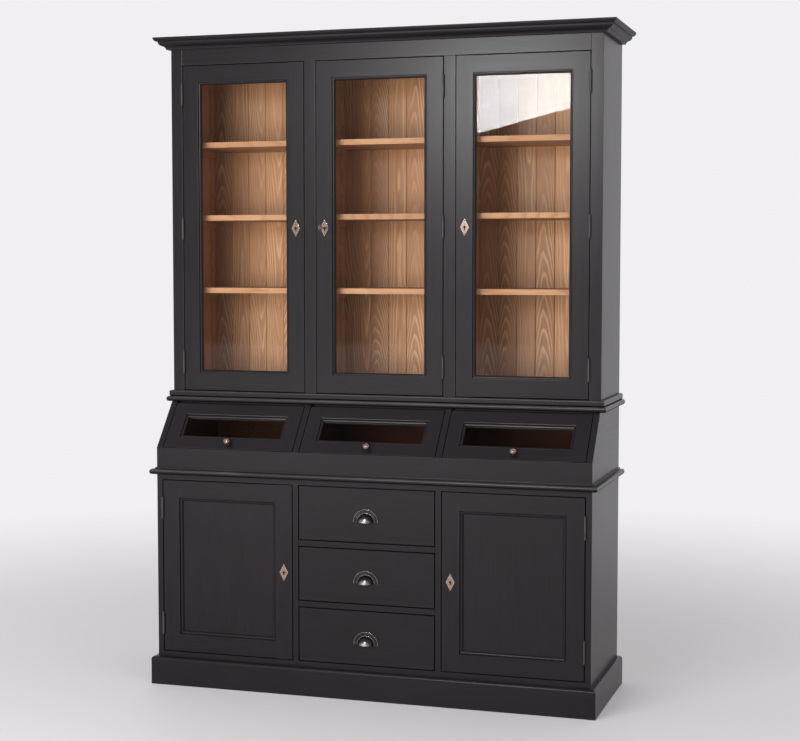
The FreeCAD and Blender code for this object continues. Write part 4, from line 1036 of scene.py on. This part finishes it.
# FLOOR, LIGHT AND CAMERA
# A pale floor that fades into an even, nearly white surround, broad lamps in front and at the side,
# a low one that gleams on upright faces, and a panel that shows in the upper glass.
NEARLY_WHITE = shade(241, 239, 242)
FLOOR_HALF = 30
FADE_FROM, FADE_TO = 1.0, 4.5
UNSEEN_LIGHT = 0.62
CAMERA_DIP, CAMERA_TURN = 0.0658, 0.3054
floor_mesh = bpy.data.meshes.new("floor")
floor_mesh.from_pydata([(x * FLOOR_HALF, y * FLOOR_HALF, 0)
                        for x, y in ((-1, -1), (1, -1), (1, 1), (-1, 1))], [], [(0, 1, 2, 3)])
floor = placed("floor", floor_mesh)
pale_floor, surface, wire = new_finish("pale_floor")
reach = wire.node("ShaderNodeVectorMath", {"operation": "LENGTH"}, {0: wire.place()}, "Value")
surface.inputs["Base Color"].default_value = shade(222, 219, 221)
surface.inputs["Roughness"].default_value = 0.6
white = wire.node("ShaderNodeEmission", {}, {"Color": NEARLY_WHITE, "Strength": 1.0})
matte = Wire(pale_floor.node_tree, surface.outputs[0])
fade = 0.15 + reach.clamp(FADE_FROM, FADE_TO) * 0.85
faded = wire.node("ShaderNodeMixShader", {}, {0: fade, 1: matte, 2: white})
faded.into(pale_floor.node_tree.nodes["Material Output"], "Surface")
floor_mesh.materials.append(pale_floor)

surround = bpy.data.worlds.new("surround")
scene.world = surround
surround.use_nodes = True
wire = Wire(surround.node_tree)
rays = [wire.node("ShaderNodeLightPath", {}, {}, name)
        for name in ("Is Camera Ray", "Is Glossy Ray", "Is Transmission Ray")]
seen = (rays[0] + rays[1] + rays[2]).maths("MINIMUM", 1.0)
even = surround.node_tree.nodes["Background"]
even.inputs["Color"].default_value = NEARLY_WHITE
(UNSEEN_LIGHT + seen * (1 - UNSEEN_LIGHT)).into(even, "Strength")


def lamp(name, place, aim, width, height, power, lights=True, mirrored=True, roll=0.0):
    """A flat lamp that faces a point. It lights dull faces, shows in shiny ones, or both."""
    light = bpy.data.lights.new(name, "AREA")
    light.shape = "RECTANGLE"
    light.size = width
    light.size_y = height
    light.energy = power
    holder = placed(name, light)
    holder.location = place
    towards = (Vector(aim) - Vector(place)).to_track_quat("-Z", "Y")
    holder.rotation_euler = (towards @ Quaternion((0, 0, 1), roll)).to_euler()
    holder.visible_diffuse = lights
    holder.visible_glossy = mirrored


lamp("front_lamp", (-1.2, -4.6, 1.5), (0, 0, 1.2), 3.0, 2.4, 248.0, mirrored=False)
lamp("side_lamp", (3.6, -2.6, 1.9), (0.3, 0, 1.2), 2.0, 2.4, 30.0, mirrored=False)
lamp("low_panel", (-1.3, -4.2, 0.5), (0, 0, 0.7), 2.8, 0.9, 21.0)
lamp("window_panel", (-0.652, -4.6, 2.525), (-0.652, 0, 2.525), 0.85, 0.5, 125.0,
     lights=False, roll=0.243)

camera = placed("camera", bpy.data.cameras.new("camera"))
camera.data.sensor_width = 36.0
camera.data.lens = 74.79
camera.location = (1.73145, -5.34175, 1.4451)
camera.rotation_euler = (math.pi / 2 - CAMERA_DIP, 0.0, CAMERA_TURN)
scene.camera = camera
scene.view_settings.view_transform = "Standard"
